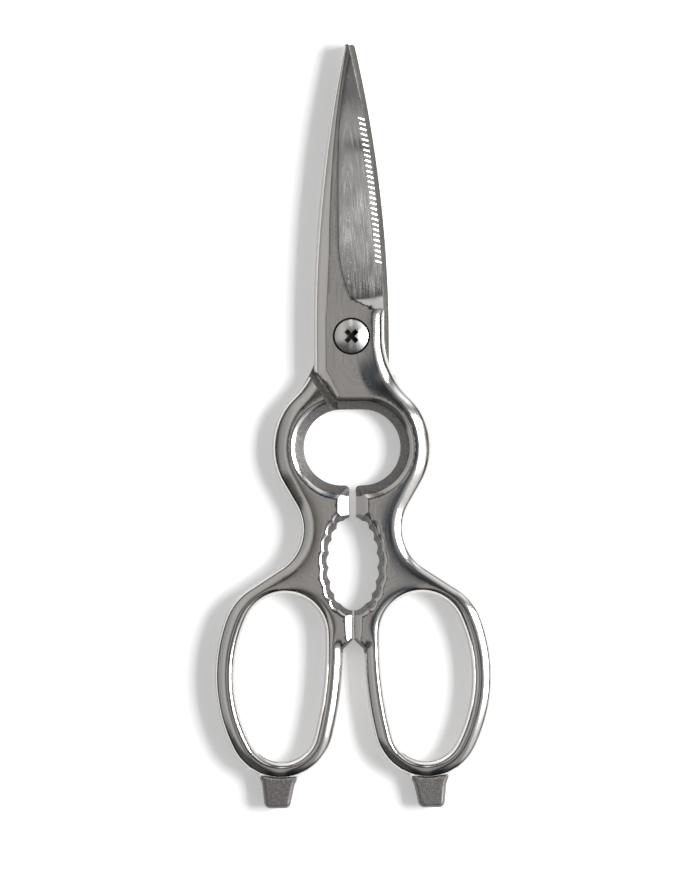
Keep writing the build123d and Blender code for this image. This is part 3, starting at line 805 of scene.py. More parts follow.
def forging(name, bore, bore_depth, hole, materials):
    """Closed mesh of the forging with its bore; the faces name their finish by material, and the bore's
    faces take near-black painted shade.
    """
    verts, tris, out_point, in_point = plan(bore, hole)
    count = len(verts)
    centre = verts[tris].mean(axis=1)
    radius = np.linalg.norm(centre, axis=1)
    way = unit(in_point - out_point)
    across = np.array([-way[1], way[0]])
    side = (centre - out_point) @ across
    handle, solid = side > 0, radius > hole
    ground, ring = radius > bore, (radius < bore) & (radius > hole)
    # The strip of mid-plane face beside the lap's shoulder is marked for dark painted shade of the gap
    # there.
    matte, shaded_channel_strip = is_matte(centre), side > -LAP_CHANNEL - 0.5
    from_pivot = np.linalg.norm(verts, axis=1)
    on_bore, on_hole = np.abs(from_pivot - bore) < ON_LINE, np.abs(from_pivot - hole) < ON_LINE
    reach = (verts - out_point) @ way
    on_line = (np.abs((verts - out_point) @ across) < ON_LINE) & (reach > -PAST_END)
    on_line &= (verts - in_point) @ way < PAST_END

    z = top_height(verts)
    levels = (z, np.full(count, LAYER), TOP - z, np.full(count, TOP - bore_depth))
    co = np.concatenate([np.column_stack([verts, level]) for level in levels]) * MM
    low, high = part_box("front_half")
    co = np.clip(co, low, high)
    upper, middle, lower, floor = (count * i for i in range(4))
    faces, kind = [], []

    def add(rows, finish):
        faces.extend(map(tuple, rows))
        kind.extend([FINISHES.index(finish)] * len(rows))

    def wall_faces(edge, above, below, finish):
        a, b = edge
        add([(b + above, a + above, a + below, b + below)], finish)

    add(tris[ground & ~matte] + upper, "polished")
    add(tris[ground & matte] + upper, "blasted")
    # Floor and walls of the bore take near-black steel as painted shade.
    add(tris[ring] + floor, "painted_shade")
    # That strip takes the dark blasted steel as painted shade; the rest of the mid-plane face takes joint
    # steel.
    add(tris[solid & ~handle & shaded_channel_strip][:, ::-1] + middle, "blasted")
    add(tris[solid & ~handle & ~shaded_channel_strip][:, ::-1] + middle, "joint")
    add(tris[handle & ~matte][:, ::-1] + lower, "polished")
    add(tris[handle & matte][:, ::-1] + lower, "blasted")
    handle_edges = set(rim_edges(tris[handle]))
    for edge in rim_edges(tris):
        wall_faces(edge, upper, middle, "polished")
        if edge in handle_edges:
            wall_faces(edge, middle, lower, "polished")
    inner_walls = (
        (handle_edges, on_line, middle, lower, "joint"),
        # Bore and hole walls: near-black painted shade
        (rim_edges(tris[ground]), on_bore, upper, floor, "painted_shade"),
        (rim_edges(tris[solid]), on_hole, floor, middle, "painted_shade"),
    )
    for edges, on_wall, above, below, finish in inner_walls:
        for a, b in edges:
            if on_wall[a] and on_wall[b]:
                wall_faces((a, b), above, below, finish)

    mesh = bpy.data.meshes.new(name)
    mesh.from_pydata(co.tolist(), [], faces)
    mesh.polygons.foreach_set("material_index", np.array(kind, np.int32))
    for finish in FINISHES:
        mesh.materials.append(materials[finish])
    close_up(mesh)
    mark_across(mesh)
    return mesh


def close_up(mesh):
    """Joins the faces of a forging to one closed skin of triangles."""
    bm = bmesh.new()
    bm.from_mesh(mesh)
    bmesh.ops.remove_doubles(bm, verts=bm.verts, dist=DOUBLES)
    bmesh.ops.delete(bm, geom=[v for v in bm.verts if not v.link_faces], context="VERTS")
    bmesh.ops.triangulate(bm, faces=bm.faces)
    if any(len(edge.link_faces) != 2 for edge in bm.edges):
        raise RuntimeError(f"{mesh.name} isn't closed")
    bm.to_mesh(mesh)
    bm.free()


def vertex_places(mesh):
    """Places of a mesh's vertices, one row each."""
    co = np.empty(len(mesh.vertices) * 3, np.float32)
    mesh.vertices.foreach_get("co", co)
    return co.reshape(-1, 3)


def mark_across(mesh):
    """Writes each vertex's distance from the outline, which the polishing lines follow."""
    across = nearest(SIDES, vertex_places(mesh)[:, :2] / MM) * MM
    mesh.attributes.new("across", "FLOAT", "POINT").data.foreach_set("value", across.astype(np.float32))


# Small tools for meshes

def smooth(mesh, angle):
    """Smooth shading that stops at edges sharper than an angle in degrees."""
    mesh.shade_smooth()
    mesh.set_sharp_from_angle(angle=radians(angle))


def crisp_edges(mesh, fresh):
    """Stops a forging's smooth shading round its upright walls and its freshly ground teeth."""
    slot = mesh.materials.find(fresh.name)
    bm = bmesh.new()
    bm.from_mesh(mesh)
    bm.normal_update()
    for edge in bm.edges:
        upright = {abs(face.normal.z) < 0.02 for face in edge.link_faces}
        ground = {face.material_index == slot for face in edge.link_faces}
        if len(upright) == 2 or len(ground) == 2:
            edge.smooth = False
    bm.to_mesh(mesh)
    bm.free()


def turn_over(mesh):
    """Turns the front half's forging over into the rear half."""
    x, y, z = vertex_places(mesh).T
    co = np.column_stack([-x, y, TOP * MM - z])
    mesh.vertices.foreach_set("co", co.astype(np.float32).ravel())
    mesh.update()


def piece(name, mesh, body, slot, *nodes):
    """Puts a finished mesh in the scene in place of CAD nodes, on their body."""
    ob = bpy.data.objects.new(name, mesh)
    bpy.context.scene.collection.objects.link(ob)
    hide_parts(*nodes)
    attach(ob, body)


def mesh_of(bm, name):
    """Mesh of a finished bmesh, which is then freed."""
    mesh = bpy.data.meshes.new(name)
    bm.to_mesh(mesh)
    bm.free()
    return mesh


def spun(name, profile, segments):
    """Mesh of a closed section of (radius, height) pairs in millimetres, turned round the pivot axis."""
    bm = bmesh.new()
    rows = []
    for radius, z in profile:
        if radius == 0:
            rows.append([bm.verts.new((0, 0, z * MM))] * segments)
            continue
        turns = [2 * pi * i / segments for i in range(segments)]
        rows.append([bm.verts.new((radius * cos(t) * MM, radius * sin(t) * MM, z * MM)) for t in turns])
    closing = rows[:1] if profile[0][0] and profile[-1][0] else []
    for low, high in zip(rows, rows[1:] + closing):
        for i in range(segments):
            j = (i + 1) % segments
            corners = list(dict.fromkeys([low[i], low[j], high[j], high[i]]))
            if len(corners) > 2:
                bm.faces.new(corners)
    bmesh.ops.recalc_face_normals(bm, faces=bm.faces)
    return mesh_of(bm, name)


def tapered_block(size, low_share, floor, top, angle, material):
    """Block that narrows downwards, turned about the pivot axis, to cut a cross or a slot with."""
    bm = bmesh.new()
    turn = Matrix.Rotation(angle, 3, "Z")
    rows = []
    for z, share in ((floor, low_share), (top, 1.0)):
        corners = [(-share, -1), (share, -1), (share, 1), (-share, 1)]
        places = [turn @ Vector((x * size[0] / 2, y * size[1] / 2, z)) for x, y in corners]
        rows.append([bm.verts.new(place) for place in places])
    low, high = rows
    bm.faces.new(low[::-1])
    bm.faces.new(high)
    for i in range(4):
        bm.faces.new([low[i], low[(i + 1) % 4], high[(i + 1) % 4], high[i]])
    mesh = mesh_of(bm, "block")
    mesh.materials.append(material)
    return mesh


def scratch_object(name, mesh):
    """An object that is only made to be worked on."""
    ob = bpy.data.objects.new(name, mesh)
    bpy.context.scene.collection.objects.link(ob)
    return ob


def evaluated(ob, name):
    """Plain mesh of an object with its modifiers, which are then removed."""
    graph = bpy.context.evaluated_depsgraph_get()
    mesh = bpy.data.meshes.new_from_object(ob.evaluated_get(graph))
    mesh.name = name
    ob.modifiers.clear()
    return mesh


def cut(mesh, tool, name):
    """A mesh with the solid of another one cut out of it, whose faces keep their material."""
    ob, cutter = scratch_object(name, mesh), scratch_object("cutter", tool)
    boolean = ob.modifiers.new("Cut", "BOOLEAN")
    boolean.operation, boolean.object, boolean.solver = "DIFFERENCE", cutter, "EXACT"
    boolean.material_mode = "TRANSFER"
    made = evaluated(ob, name)
    bpy.data.objects.remove(ob)
    bpy.data.objects.remove(cutter)
    return made


# Node trees

def node(tree, kind, inputs=None, **settings):
    """A node with its settings, its input values and the sockets that feed it."""
    made = tree.nodes.new(kind)
    for key, value in settings.items():
        setattr(made, key, value)
    for key, value in (inputs or {}).items():
        if isinstance(value, bpy.types.NodeSocket):
            tree.links.new(value, made.inputs[key])
        else:
            made.inputs[key].default_value = value
    return made


def calc(tree, operation, *values):
    """Result of a Math node."""
    return node(tree, "ShaderNodeMath", dict(enumerate(values)), operation=operation).outputs[0]


def xyz(tree, **parts):
    """A vector from its parts."""
    return node(tree, "ShaderNodeCombineXYZ", parts).outputs[0]


def noise(tree, place, scale, detail, roughness=0.5):
    """Strength of a noise at a place; the scale is its cells to a metre."""
    inputs = {"Vector": place, "Scale": scale, "Detail": detail, "Roughness": roughness}
    return node(tree, "ShaderNodeTexNoise", inputs).outputs["Fac"]


def mapped(tree, value, start, end, least=0.0, most=1.0):
    """A value between start and end, moved to lie between least and most."""
    inputs = {"Value": value, "From Min": start, "From Max": end, "To Min": least, "To Max": most}
    return node(tree, "ShaderNodeMapRange", inputs).outputs["Result"]


def bump(tree, height, distance, normal=None):
    """Normal of a face that a height makes uneven, on top of an unevenness that it has."""
    inputs = {"Height": height, "Strength": 1.0, "Distance": distance}
    if normal is not None:
        inputs["Normal"] = normal
    return node(tree, "ShaderNodeBump", inputs).outputs[0]


def mixed(tree, factor, first, second, blend="MIX"):
    """Result of a colour mix."""
    made = node(tree, "ShaderNodeMix", {"Factor": factor}, data_type="RGBA", blend_type=blend)
    for label, value in (("A", first), ("B", second)):
        socket = next(s for s in made.inputs if s.name == label and s.type == "RGBA")
        if isinstance(value, bpy.types.NodeSocket):
            tree.links.new(value, socket)
        else:
            socket.default_value = (*value[:3], 1)
    return next(s for s in made.outputs if s.type == "RGBA")


def ramp(tree, value, stops):
    """Grey or colour of a value from -1 to 1 along a ramp of (value, shade) stops."""
    made = node(tree, "ShaderNodeValToRGB", {"Fac": mapped(tree, value, -1.0, 1.0)})
    elements = made.color_ramp.elements
    while len(elements) < len(stops):
        elements.new(0.5)
    for element, (place, shade) in zip(elements, stops):
        colour = shade if isinstance(shade, tuple) else (shade, shade, shade)
        element.position, element.color = (place + 1) / 2, (*colour, 1)
    return made.outputs["Color"]


def effect(name, inputs, outputs):
    """An empty node group with named inputs and outputs."""
    tree = bpy.data.node_groups.new(name, "ShaderNodeTree")
    for label, kind, default in inputs:
        tree.interface.new_socket(label, in_out="INPUT", socket_type=kind).default_value = default
    for label in outputs:
        tree.interface.new_socket(label, in_out="OUTPUT", socket_type="NodeSocketFloat")
    return tree, tree.nodes.new("NodeGroupInput").outputs, tree.nodes.new("NodeGroupOutput").inputs


def polishing_lines():
    """Fine polishing lines along the blade: a mask for roughness and a height for bump."""
    name = "Polishing Lines"
    if name in bpy.data.node_groups:
        return bpy.data.node_groups[name]
    inputs = [
        ("Vector", "NodeSocketVector", (0, 0, 0)),
        ("Fineness", "NodeSocketFloat", 4000.0),
        ("Stretch", "NodeSocketFloat", 0.03),
    ]
    tree, given, out = effect(name, inputs, ["Lines", "Height"])
    along = calc(tree, "MULTIPLY", given["Fineness"], given["Stretch"])
    scale = xyz(tree, X=given["Fineness"], Y=along, Z=given["Fineness"])
    placed = node(tree, "ShaderNodeVectorMath", {0: given["Vector"], 1: scale}, operation="MULTIPLY")
    fine = noise(tree, placed.outputs[0], scale=1.0, detail=3.0, roughness=0.6)
    tree.links.new(mapped(tree, fine, start=0.35, end=0.65), out["Lines"])
    tree.links.new(fine, out["Height"])
    return tree


# Share of the places that hold no dried drop
DRY_SHARE = 0.72


def water_spots():
    """Scattered dried drops: a mask that is one in a few small spots."""
    name = "Water Spots"
    if name in bpy.data.node_groups:
        return bpy.data.node_groups[name]
    inputs = [
        ("Vector", "NodeSocketVector", (0, 0, 0)),
        ("Density", "NodeSocketFloat", 900.0),
        ("Size", "NodeSocketFloat", 0.14),
    ]
    tree, given, out = effect(name, inputs, ["Spots"])
    cells = node(tree, "ShaderNodeTexVoronoi", {"Vector": given["Vector"], "Scale": given["Density"]})
    pick = node(tree, "ShaderNodeSeparateColor", {"Color": cells.outputs["Color"]})
    size = calc(tree, "MULTIPLY", given["Size"], pick.outputs["Green"])
    near = calc(tree, "LESS_THAN", cells.outputs["Distance"], size)
    chosen = calc(tree, "GREATER_THAN", pick.outputs["Red"], DRY_SHARE)
    tree.links.new(calc(tree, "MULTIPLY", near, chosen), out["Spots"])
    return tree


# Materials

def along_outline(tree, place):
    """Place on the steel as distance from the outline and height along the blade."""
    across = node(tree, "ShaderNodeAttribute", attribute_name="across").outputs["Fac"]
    along = node(tree, "ShaderNodeSeparateXYZ", {0: place}).outputs["Y"]
    return xyz(tree, X=across, Y=along)


# Cloudy wear: its scale, and the least and the most that it leaves of a colour
CLOUDS = (140.0, 0.96, 1.04)
GRAIN_CLOUDS = (1400.0, 0.3, 1.7)

# Scale of the waves and of the grain, and the depth of the polishing lines in millimetres
WAVES, GRAIN, LINE_DEPTH = 70.0, 3600.0, 0.002


def steel(name, colour, roughness, spread, waviness, grain=0.0, spots=0.0, follows=False):
    """Stainless steel with polishing lines, cloudy wear, dried drops and an uneven or a grained face.
    The lines run along the blade, or along the outline where the mesh holds its distance from it."""
    if name in bpy.data.materials:
        return bpy.data.materials[name]
    material = bpy.data.materials.new(name)
    material.use_nodes = True
    tree = material.node_tree
    tree.nodes.clear()
    place = node(tree, "ShaderNodeTexCoord").outputs["Object"]
    lines = node(tree, "ShaderNodeGroup", node_tree=polishing_lines())
    drops = node(tree, "ShaderNodeGroup", node_tree=water_spots())
    tree.links.new(along_outline(tree, place) if follows else place, lines.inputs["Vector"])
    tree.links.new(place, drops.inputs["Vector"])
    scale, least, most = GRAIN_CLOUDS if grain else CLOUDS
    clouds = noise(tree, place, scale, detail=4.0, roughness=0.6)
    lined = mapped(tree, lines.outputs["Lines"], 0.0, 1.0, roughness, roughness + spread)
    cloudy = mapped(tree, clouds, 0.3, 0.7, least=-0.02, most=0.03)
    spotted = calc(tree, "MULTIPLY", drops.outputs["Spots"], spots)
    total = calc(tree, "ADD", calc(tree, "ADD", lined, cloudy), spotted)
    worn, bright = [c * least for c in colour], [min(1, c * most) for c in colour]
    tint = mixed(tree, clouds, worn, bright)
    normal = bump(tree, noise(tree, place, WAVES, detail=1.0), waviness * MM)
    normal = bump(tree, lines.outputs["Height"], LINE_DEPTH * MM, normal)
    if grain:
        normal = bump(tree, noise(tree, place, GRAIN, detail=2.0), grain * MM, normal)
    shader = node(tree, "ShaderNodeBsdfPrincipled", {
        "Metallic": 1.0, "Roughness": total, "Base Color": tint, "Normal": normal,
    })
    node(tree, "ShaderNodeOutputMaterial", {"Surface": shader.outputs[0]})
    return material


def polished_steel(finish):
    """Mirror-like outer faces of the forgings."""
    return steel(
        "Polished Stainless", finish.polished_colour, finish.polished_roughness,
        spread=0.1, waviness=0.05, spots=0.1, follows=True)


def blasted_steel_and_channel_shade(finish):
    """Grained, dull faces inside the opener, the nutcracker and on the lugs, and dark painted shade on the
    strip of mid-plane face beside the lap's shoulder.
    """
    return steel(
        "Blasted Stainless And Channel Shade", finish.blasted_colour, finish.blasted_roughness,
        spread=0.1, waviness=0.02, grain=finish.grain_depth / MM)


def tooth_steel(finish):
    """Freshly ground floors of the tooth grooves."""
    return steel("Ground Tooth Steel", finish.polished_colour, roughness=0.3, spread=0.06, waviness=0.0)


def joint_steel(finish):
    """Ground faces on which the halves slide."""
    return steel("Joint Steel", finish.joint_colour, roughness=0.22, spread=0.1, waviness=0.02)


def painted_shade_steel(finish):
    """Near-black steel painted as shade in the bore, on the washer under the screw's head, in the cross and
    in the nut's slot.
    """
    return steel("Painted Shade Steel", finish.painted_shade_colour, roughness=0.5, spread=0.1, waviness=0.0)


def screw_steel(finish):
    """Brighter steel of the turned fasteners."""
    return steel("Screw Steel", finish.screw_colour, roughness=0.24, spread=0.08, waviness=0.04)


# Teeth

def tooth_tree():
    """Grooves for the teeth: points along the edge's arc, dropped on the ground face, each with a
    block to cut with."""
    tree = bpy.data.node_groups.new("Tooth Grooves", "GeometryNodeTree")
    tree.interface.new_socket("Forging", in_out="INPUT", socket_type="NodeSocketGeometry")
    tree.interface.new_socket("Count", in_out="INPUT", socket_type="NodeSocketInt")
    sizes = ("First Height", "Pitch", "Edge Radius", "Edge Centre", "Length", "Width", "Slope", "Lean")
    for label in sizes:
        tree.interface.new_socket(label, in_out="INPUT", socket_type="NodeSocketFloat")
    tree.interface.new_socket("Material", in_out="INPUT", socket_type="NodeSocketMaterial")
    tree.interface.new_socket("Grooves", in_out="OUTPUT", socket_type="NodeSocketGeometry")
    given, out = tree.nodes.new("NodeGroupInput").outputs, tree.nodes.new("NodeGroupOutput")

    row = node(tree, "GeometryNodeMeshLine", {
        "Count": given["Count"],
        "Start Location": xyz(tree, Y=given["First Height"], Z=20 * MM),
        "Offset": xyz(tree, Y=given["Pitch"]),
    })
    at = node(tree, "ShaderNodeSeparateXYZ", {0: node(tree, "GeometryNodeInputPosition").outputs[0]}).outputs
    radius_squared = calc(tree, "POWER", given["Edge Radius"], 2.0)
    squares = calc(tree, "SUBTRACT", radius_squared, calc(tree, "POWER", at["Y"], 2.0))
    edge = calc(tree, "ADD", given["Edge Centre"], calc(tree, "SQRT", squares))
    over = xyz(tree, X=calc(tree, "SUBTRACT", edge, given["Length"]), Y=at["Y"], Z=at["Z"])
    placed = node(tree, "GeometryNodeSetPosition", {"Geometry": row.outputs[0], "Position": over})
    hit = node(tree, "GeometryNodeRaycast", {"Target Geometry": given["Forging"], "Ray Length": 1.0})
    landed = node(tree, "GeometryNodeSetPosition", {
        "Geometry": placed.outputs[0], "Position": hit.outputs["Hit Position"],
    })
    long = calc(tree, "MULTIPLY", given["Length"], 3.0)
    size = xyz(tree, X=long, Y=given["Width"], Z=long)
    block = node(tree, "GeometryNodeMeshCube", {"Size": size}).outputs["Mesh"]
    middle = calc(tree, "MULTIPLY", long, 0.5)
    seated = node(tree, "GeometryNodeTransform", {
        "Geometry": block, "Translation": xyz(tree, X=middle, Z=middle),
    })
    blocks = node(tree, "GeometryNodeInstanceOnPoints", {
        "Points": landed.outputs[0],
        "Instance": seated.outputs[0],
        "Rotation": xyz(tree, Y=given["Slope"], Z=given["Lean"]),
    })
    plain = node(tree, "GeometryNodeRealizeInstances", {"Geometry": blocks.outputs[0]})
    finished = node(tree, "GeometryNodeSetMaterial", {
        "Geometry": plain.outputs[0], "Material": given["Material"],
    })
    tree.links.new(finished.outputs[0], out.inputs[0])
    return tree


def tooth_grooves(mesh, teeth, material):
    """Mesh of the grooves that cut the teeth into a forging's mesh."""
    ob = scratch_object("grooves", mesh)
    tree = tooth_tree()
    fit = ob.modifiers.new("Tooth Grooves", "NODES")
    fit.node_group = tree
    values = {
        "Count": teeth.count,
        "First Height": teeth.first_height,
        "Pitch": teeth.pitch,
        "Edge Radius": SIDE_RADIUS * MM,
        "Edge Centre": (EDGE_HALF - CHOIL - SIDE_RADIUS) * MM,
        "Length": teeth.length,
        "Width": teeth.width,
        "Slope": teeth.slope,
        "Lean": -teeth.lean,
        "Material": material,
    }
    for item in tree.interface.items_tree:
        if item.name in values:
            fit[item.identifier] = values[item.name]
    made = evaluated(ob, "tooth_grooves")
    bpy.data.objects.remove(ob)
    return made


# Settings that a user would change

class ShearsTeeth(bpy.types.PropertyGroup):
    """Teeth along the front blade's edge"""
    count: bpy.props.IntProperty(
        name="Count", description="Teeth along the edge", default=28, min=1, max=40)
    first_height: bpy.props.FloatProperty(
        name="First Tooth", description="Height of the first tooth above the pivot",
        default=20.3 * MM, unit="LENGTH", precision=4)
    pitch: bpy.props.FloatProperty(
        name="Pitch", description="From one tooth to the next",
        default=1.424 * MM, unit="LENGTH", precision=5)
    length: bpy.props.FloatProperty(
        name="Length", description="Length of a groove from its start to the edge",
        default=1.5 * MM, unit="LENGTH", precision=5)
    width: bpy.props.FloatProperty(
        name="Width", description="Width of a groove", default=0.37 * MM, unit="LENGTH", precision=5)
    slope: bpy.props.FloatProperty(
        name="Slope", description="Fall of a groove's floor", default=radians(26), subtype="ANGLE")
    lean: bpy.props.FloatProperty(
        name="Lean", description="Turn of a groove towards the pivot", default=radians(17), subtype="ANGLE")


class ShearsFinish(bpy.types.PropertyGroup):
    """Colours and finishes of the steel"""
    polished_colour: bpy.props.FloatVectorProperty(
        name="Polished", description="Colour of the polished steel",
        default=(0.66, 0.64, 0.62), size=3, subtype="COLOR")
    polished_roughness: bpy.props.FloatProperty(
        name="Polished Roughness", description="Least roughness of the polished steel",
        default=0.1, subtype="FACTOR", min=0.0, max=1.0)
    blasted_colour: bpy.props.FloatVectorProperty(
        name="Blasted", description="Colour of the blasted steel",
        default=(0.22, 0.21, 0.205), size=3, subtype="COLOR")
    blasted_roughness: bpy.props.FloatProperty(
        name="Blasted Roughness", description="Least roughness of the blasted steel",
        default=0.42, subtype="FACTOR", min=0.0, max=1.0)
    grain_depth: bpy.props.FloatProperty(
        name="Grain", description="Depth of the blasted grain", default=0.1 * MM, unit="LENGTH", precision=5)
    joint_colour: bpy.props.FloatVectorProperty(
        name="Joint", description="Colour of the faces that slide",
        default=(0.55, 0.54, 0.52), size=3, subtype="COLOR")
    # Near-black colour painted as shade in the bore, on the washer, in the cross and in the nut's slot
    painted_shade_colour: bpy.props.FloatVectorProperty(
        name="Painted Shade", description="Colour painted in the gaps as shade", default=(0.05, 0.05, 0.05), size=3, subtype="COLOR")
    screw_colour: bpy.props.FloatVectorProperty(
        name="Screw", description="Colour of the fasteners",
        default=(0.84, 0.82, 0.80), size=3, subtype="COLOR")


class ShearsPivot(bpy.types.PropertyGroup):
    """Screw, washer and nut at the pivot"""
    head_radius: bpy.props.FloatProperty(
        name="Head Radius", description="Radius of the screw's head",
        default=4.47 * MM, unit="LENGTH", precision=5)
    head_rim: bpy.props.FloatProperty(
        name="Rim Height", description="Height at which the dome starts",
        default=6.75 * MM, unit="LENGTH", precision=5)
    head_top: bpy.props.FloatProperty(
        name="Dome Height", description="Height of the dome's top",
        default=7.97 * MM, unit="LENGTH", precision=5)
    cross_span: bpy.props.FloatProperty(
        name="Cross Span", description="Length of the cross across the head",
        default=4.7 * MM, unit="LENGTH", precision=5)
    cross_width: bpy.props.FloatProperty(
        name="Cross Width", description="Width of the cross's arms",
        default=1.25 * MM, unit="LENGTH", precision=5)
    cross_turn: bpy.props.FloatProperty(
        name="Cross Turn", description="Turn of the cross about the pivot",
        default=radians(45), subtype="ANGLE")
    slot_width: bpy.props.FloatProperty(
        name="Slot Width", description="Width of the nut's slot",
        default=1.15 * MM, unit="LENGTH", precision=5)


class ShearsStage(bpy.types.PropertyGroup):
    """Floor, lamp and camera"""
    floor_colour: bpy.props.FloatVectorProperty(
        name="Floor", description="Colour of the paper under the shears",
        default=(0.82, 0.82, 0.82), size=3, subtype="COLOR")
    floor_glow: bpy.props.FloatProperty(
        name="Floor Glow", description="How much whiter the floor looks than it is lit",
        default=0.33, subtype="FACTOR", min=0.0, max=1.0)
    lamp_power: bpy.props.FloatProperty(
        name="Lamp Power", description="Power of the lamp", default=15.0, unit="POWER")
    lamp_width: bpy.props.FloatProperty(
        name="Lamp Width", description="Width of the lamp along the shears", default=0.56, unit="LENGTH")
    lamp_height: bpy.props.FloatProperty(
        name="Lamp Height", description="Height of the lamp's face", default=0.38, unit="LENGTH")
    lamp_place: bpy.props.FloatVectorProperty(
        name="Lamp Direction", description="Direction from the shears to the lamp",
        default=(1.0, 0.04, 0.79), size=3, subtype="DIRECTION")
    lamp_distance: bpy.props.FloatProperty(
        name="Lamp Distance", description="From the pivot to the lamp", default=1.0, unit="LENGTH")
    camera_height: bpy.props.FloatProperty(
        name="Camera Height", description="Height of the camera over the floor", default=1.4, unit="LENGTH")


# Operators, one for each piece or pair of like pieces and one for the stage

class SHEARS_OT_halves(bpy.types.Operator):
    """Builds the front half with its teeth and the rear half, forged to one shape"""
    bl_idname = "shears.halves"
    bl_label = "Forged Halves"

    def execute(self, context):
        finish = context.scene.shears_finish
        materials = {
            "polished": polished_steel(finish),
            "blasted": blasted_steel_and_channel_shade(finish),
            "painted_shade": painted_shade_steel(finish),
            "joint": joint_steel(finish),
        }
        front = forging("front_forging", *FRONT_BORE, materials)
        fresh = tooth_steel(finish)
        grooves = tooth_grooves(front, context.scene.shears_teeth, fresh)
        front = cut(front, grooves, "front_forging")
        rear = forging("rear_forging", *REAR_BORE, materials)
        turn_over(rear)
        for mesh, body, cad_node in ((front, "front", "front_half"), (rear, "rear", "rear_half")):
            smooth(mesh, FORGING_BEND)
            crisp_edges(mesh, fresh)
            piece(mesh.name, mesh, body, "forged_stainless", cad_node)
        return {"FINISHED"}


class SHEARS_OT_screw(bpy.types.Operator):
    """Builds the pivot screw with its dome and cross recess"""
    bl_idname = "shears.screw"
    bl_label = "Pivot Screw"

    def execute(self, context):
        finish, pivot = context.scene.shears_finish, context.scene.shears_pivot
        head, rim, top = pivot.head_radius / MM, pivot.head_rim / MM, pivot.head_top / MM
        dome_radius = (head**2 + (top - rim) ** 2) / (2 * (top - rim))
        bends = np.linspace(asin(head / dome_radius), 0, DOME_ROWS)
        dome = [(dome_radius * sin(a), top - dome_radius * (1 - cos(a))) for a in bends]
        side = [(head, SCREW_SHANK[-1][1] + HEAD_CORNER), (head, rim - HEAD_CORNER)]
        screw = spun("pivot_screw_form", SCREW_SHANK + side + dome, HEAD_SEGMENTS)
        screw.materials.append(screw_steel(finish))
        size, clear = (pivot.cross_span, pivot.cross_width), pivot.head_top + 0.05 * MM
        # The cross is cut with near-black steel: painted shade in its hollow.
        dark = painted_shade_steel(finish)
        for turn in (pivot.cross_turn, pivot.cross_turn + pi / 2):
            arm = tapered_block(size, CROSS_LOW_SHARE, CROSS_FLOOR * MM, clear, turn, dark)
            screw = cut(screw, arm, "pivot_screw_form")
        smooth(screw, FASTENER_BEND)
        piece("screw", screw, "rear", "fastener_stainless", "pivot_screw")
        return {"FINISHED"}


class SHEARS_OT_washer(bpy.types.Operator):
    """Builds the spring washer under the screw's head"""
    bl_idname = "shears.washer"
    bl_label = "Spring Washer"

    def execute(self, context):
        washer = spun("spring_washer_form", WASHER_SECTION, RING_SEGMENTS)
        # The washer is painted near-black, as shade in the gap round the screw's head.
        washer.materials.append(painted_shade_steel(context.scene.shears_finish))
        smooth(washer, FASTENER_BEND)
        piece("washer", washer, "rear", "fastener_stainless", "spring_washer")
        return {"FINISHED"}


class SHEARS_OT_nut(bpy.types.Operator):
    """Builds the slotted lock nut in the rear half"""
    bl_idname = "shears.nut"
    bl_label = "Lock Nut"

    def execute(self, context):
        finish, pivot = context.scene.shears_finish, context.scene.shears_pivot
        nut = spun("lock_nut_form", NUT_SECTION, RING_SEGMENTS)
        nut.materials.append(screw_steel(finish))
        size = (NUT_SLOT_LENGTH * MM, pivot.slot_width)
        # The nut's slot is cut with near-black steel as painted shade.
        slot = tapered_block(size, 1.0, -1.0 * MM, NUT_SLOT_FLOOR * MM, NUT_SLOT_TURN, painted_shade_steel(finish))
        nut = cut(nut, slot, "lock_nut_form")
        smooth(nut, FASTENER_BEND)
        piece("nut", nut, "rear", "fastener_stainless", "lock_nut")
        return {"FINISHED"}


def white_paper(colour, glow):
    """Floor that looks white to the camera and to the steel but keeps the object's shadow."""
    material = bpy.data.materials.new("White Paper")
    material.use_nodes = True
    tree = material.node_tree
    tree.nodes.clear()
    diffuse = node(tree, "ShaderNodeBsdfDiffuse", {"Color": (*colour, 1)})
    path = node(tree, "ShaderNodeLightPath")
    seen = calc(tree, "MAXIMUM", path.outputs["Is Camera Ray"], path.outputs["Is Glossy Ray"])
    seen = calc(tree, "MAXIMUM", seen, path.outputs["Is Transmission Ray"])
    strength = calc(tree, "MULTIPLY", seen, glow)
    shine = node(tree, "ShaderNodeEmission", {"Color": (1, 1, 1, 1), "Strength": strength})
    both = node(tree, "ShaderNodeAddShader", {0: diffuse.outputs[0], 1: shine.outputs[0]})
    node(tree, "ShaderNodeOutputMaterial", {"Surface": both.outputs[0]})
    return material


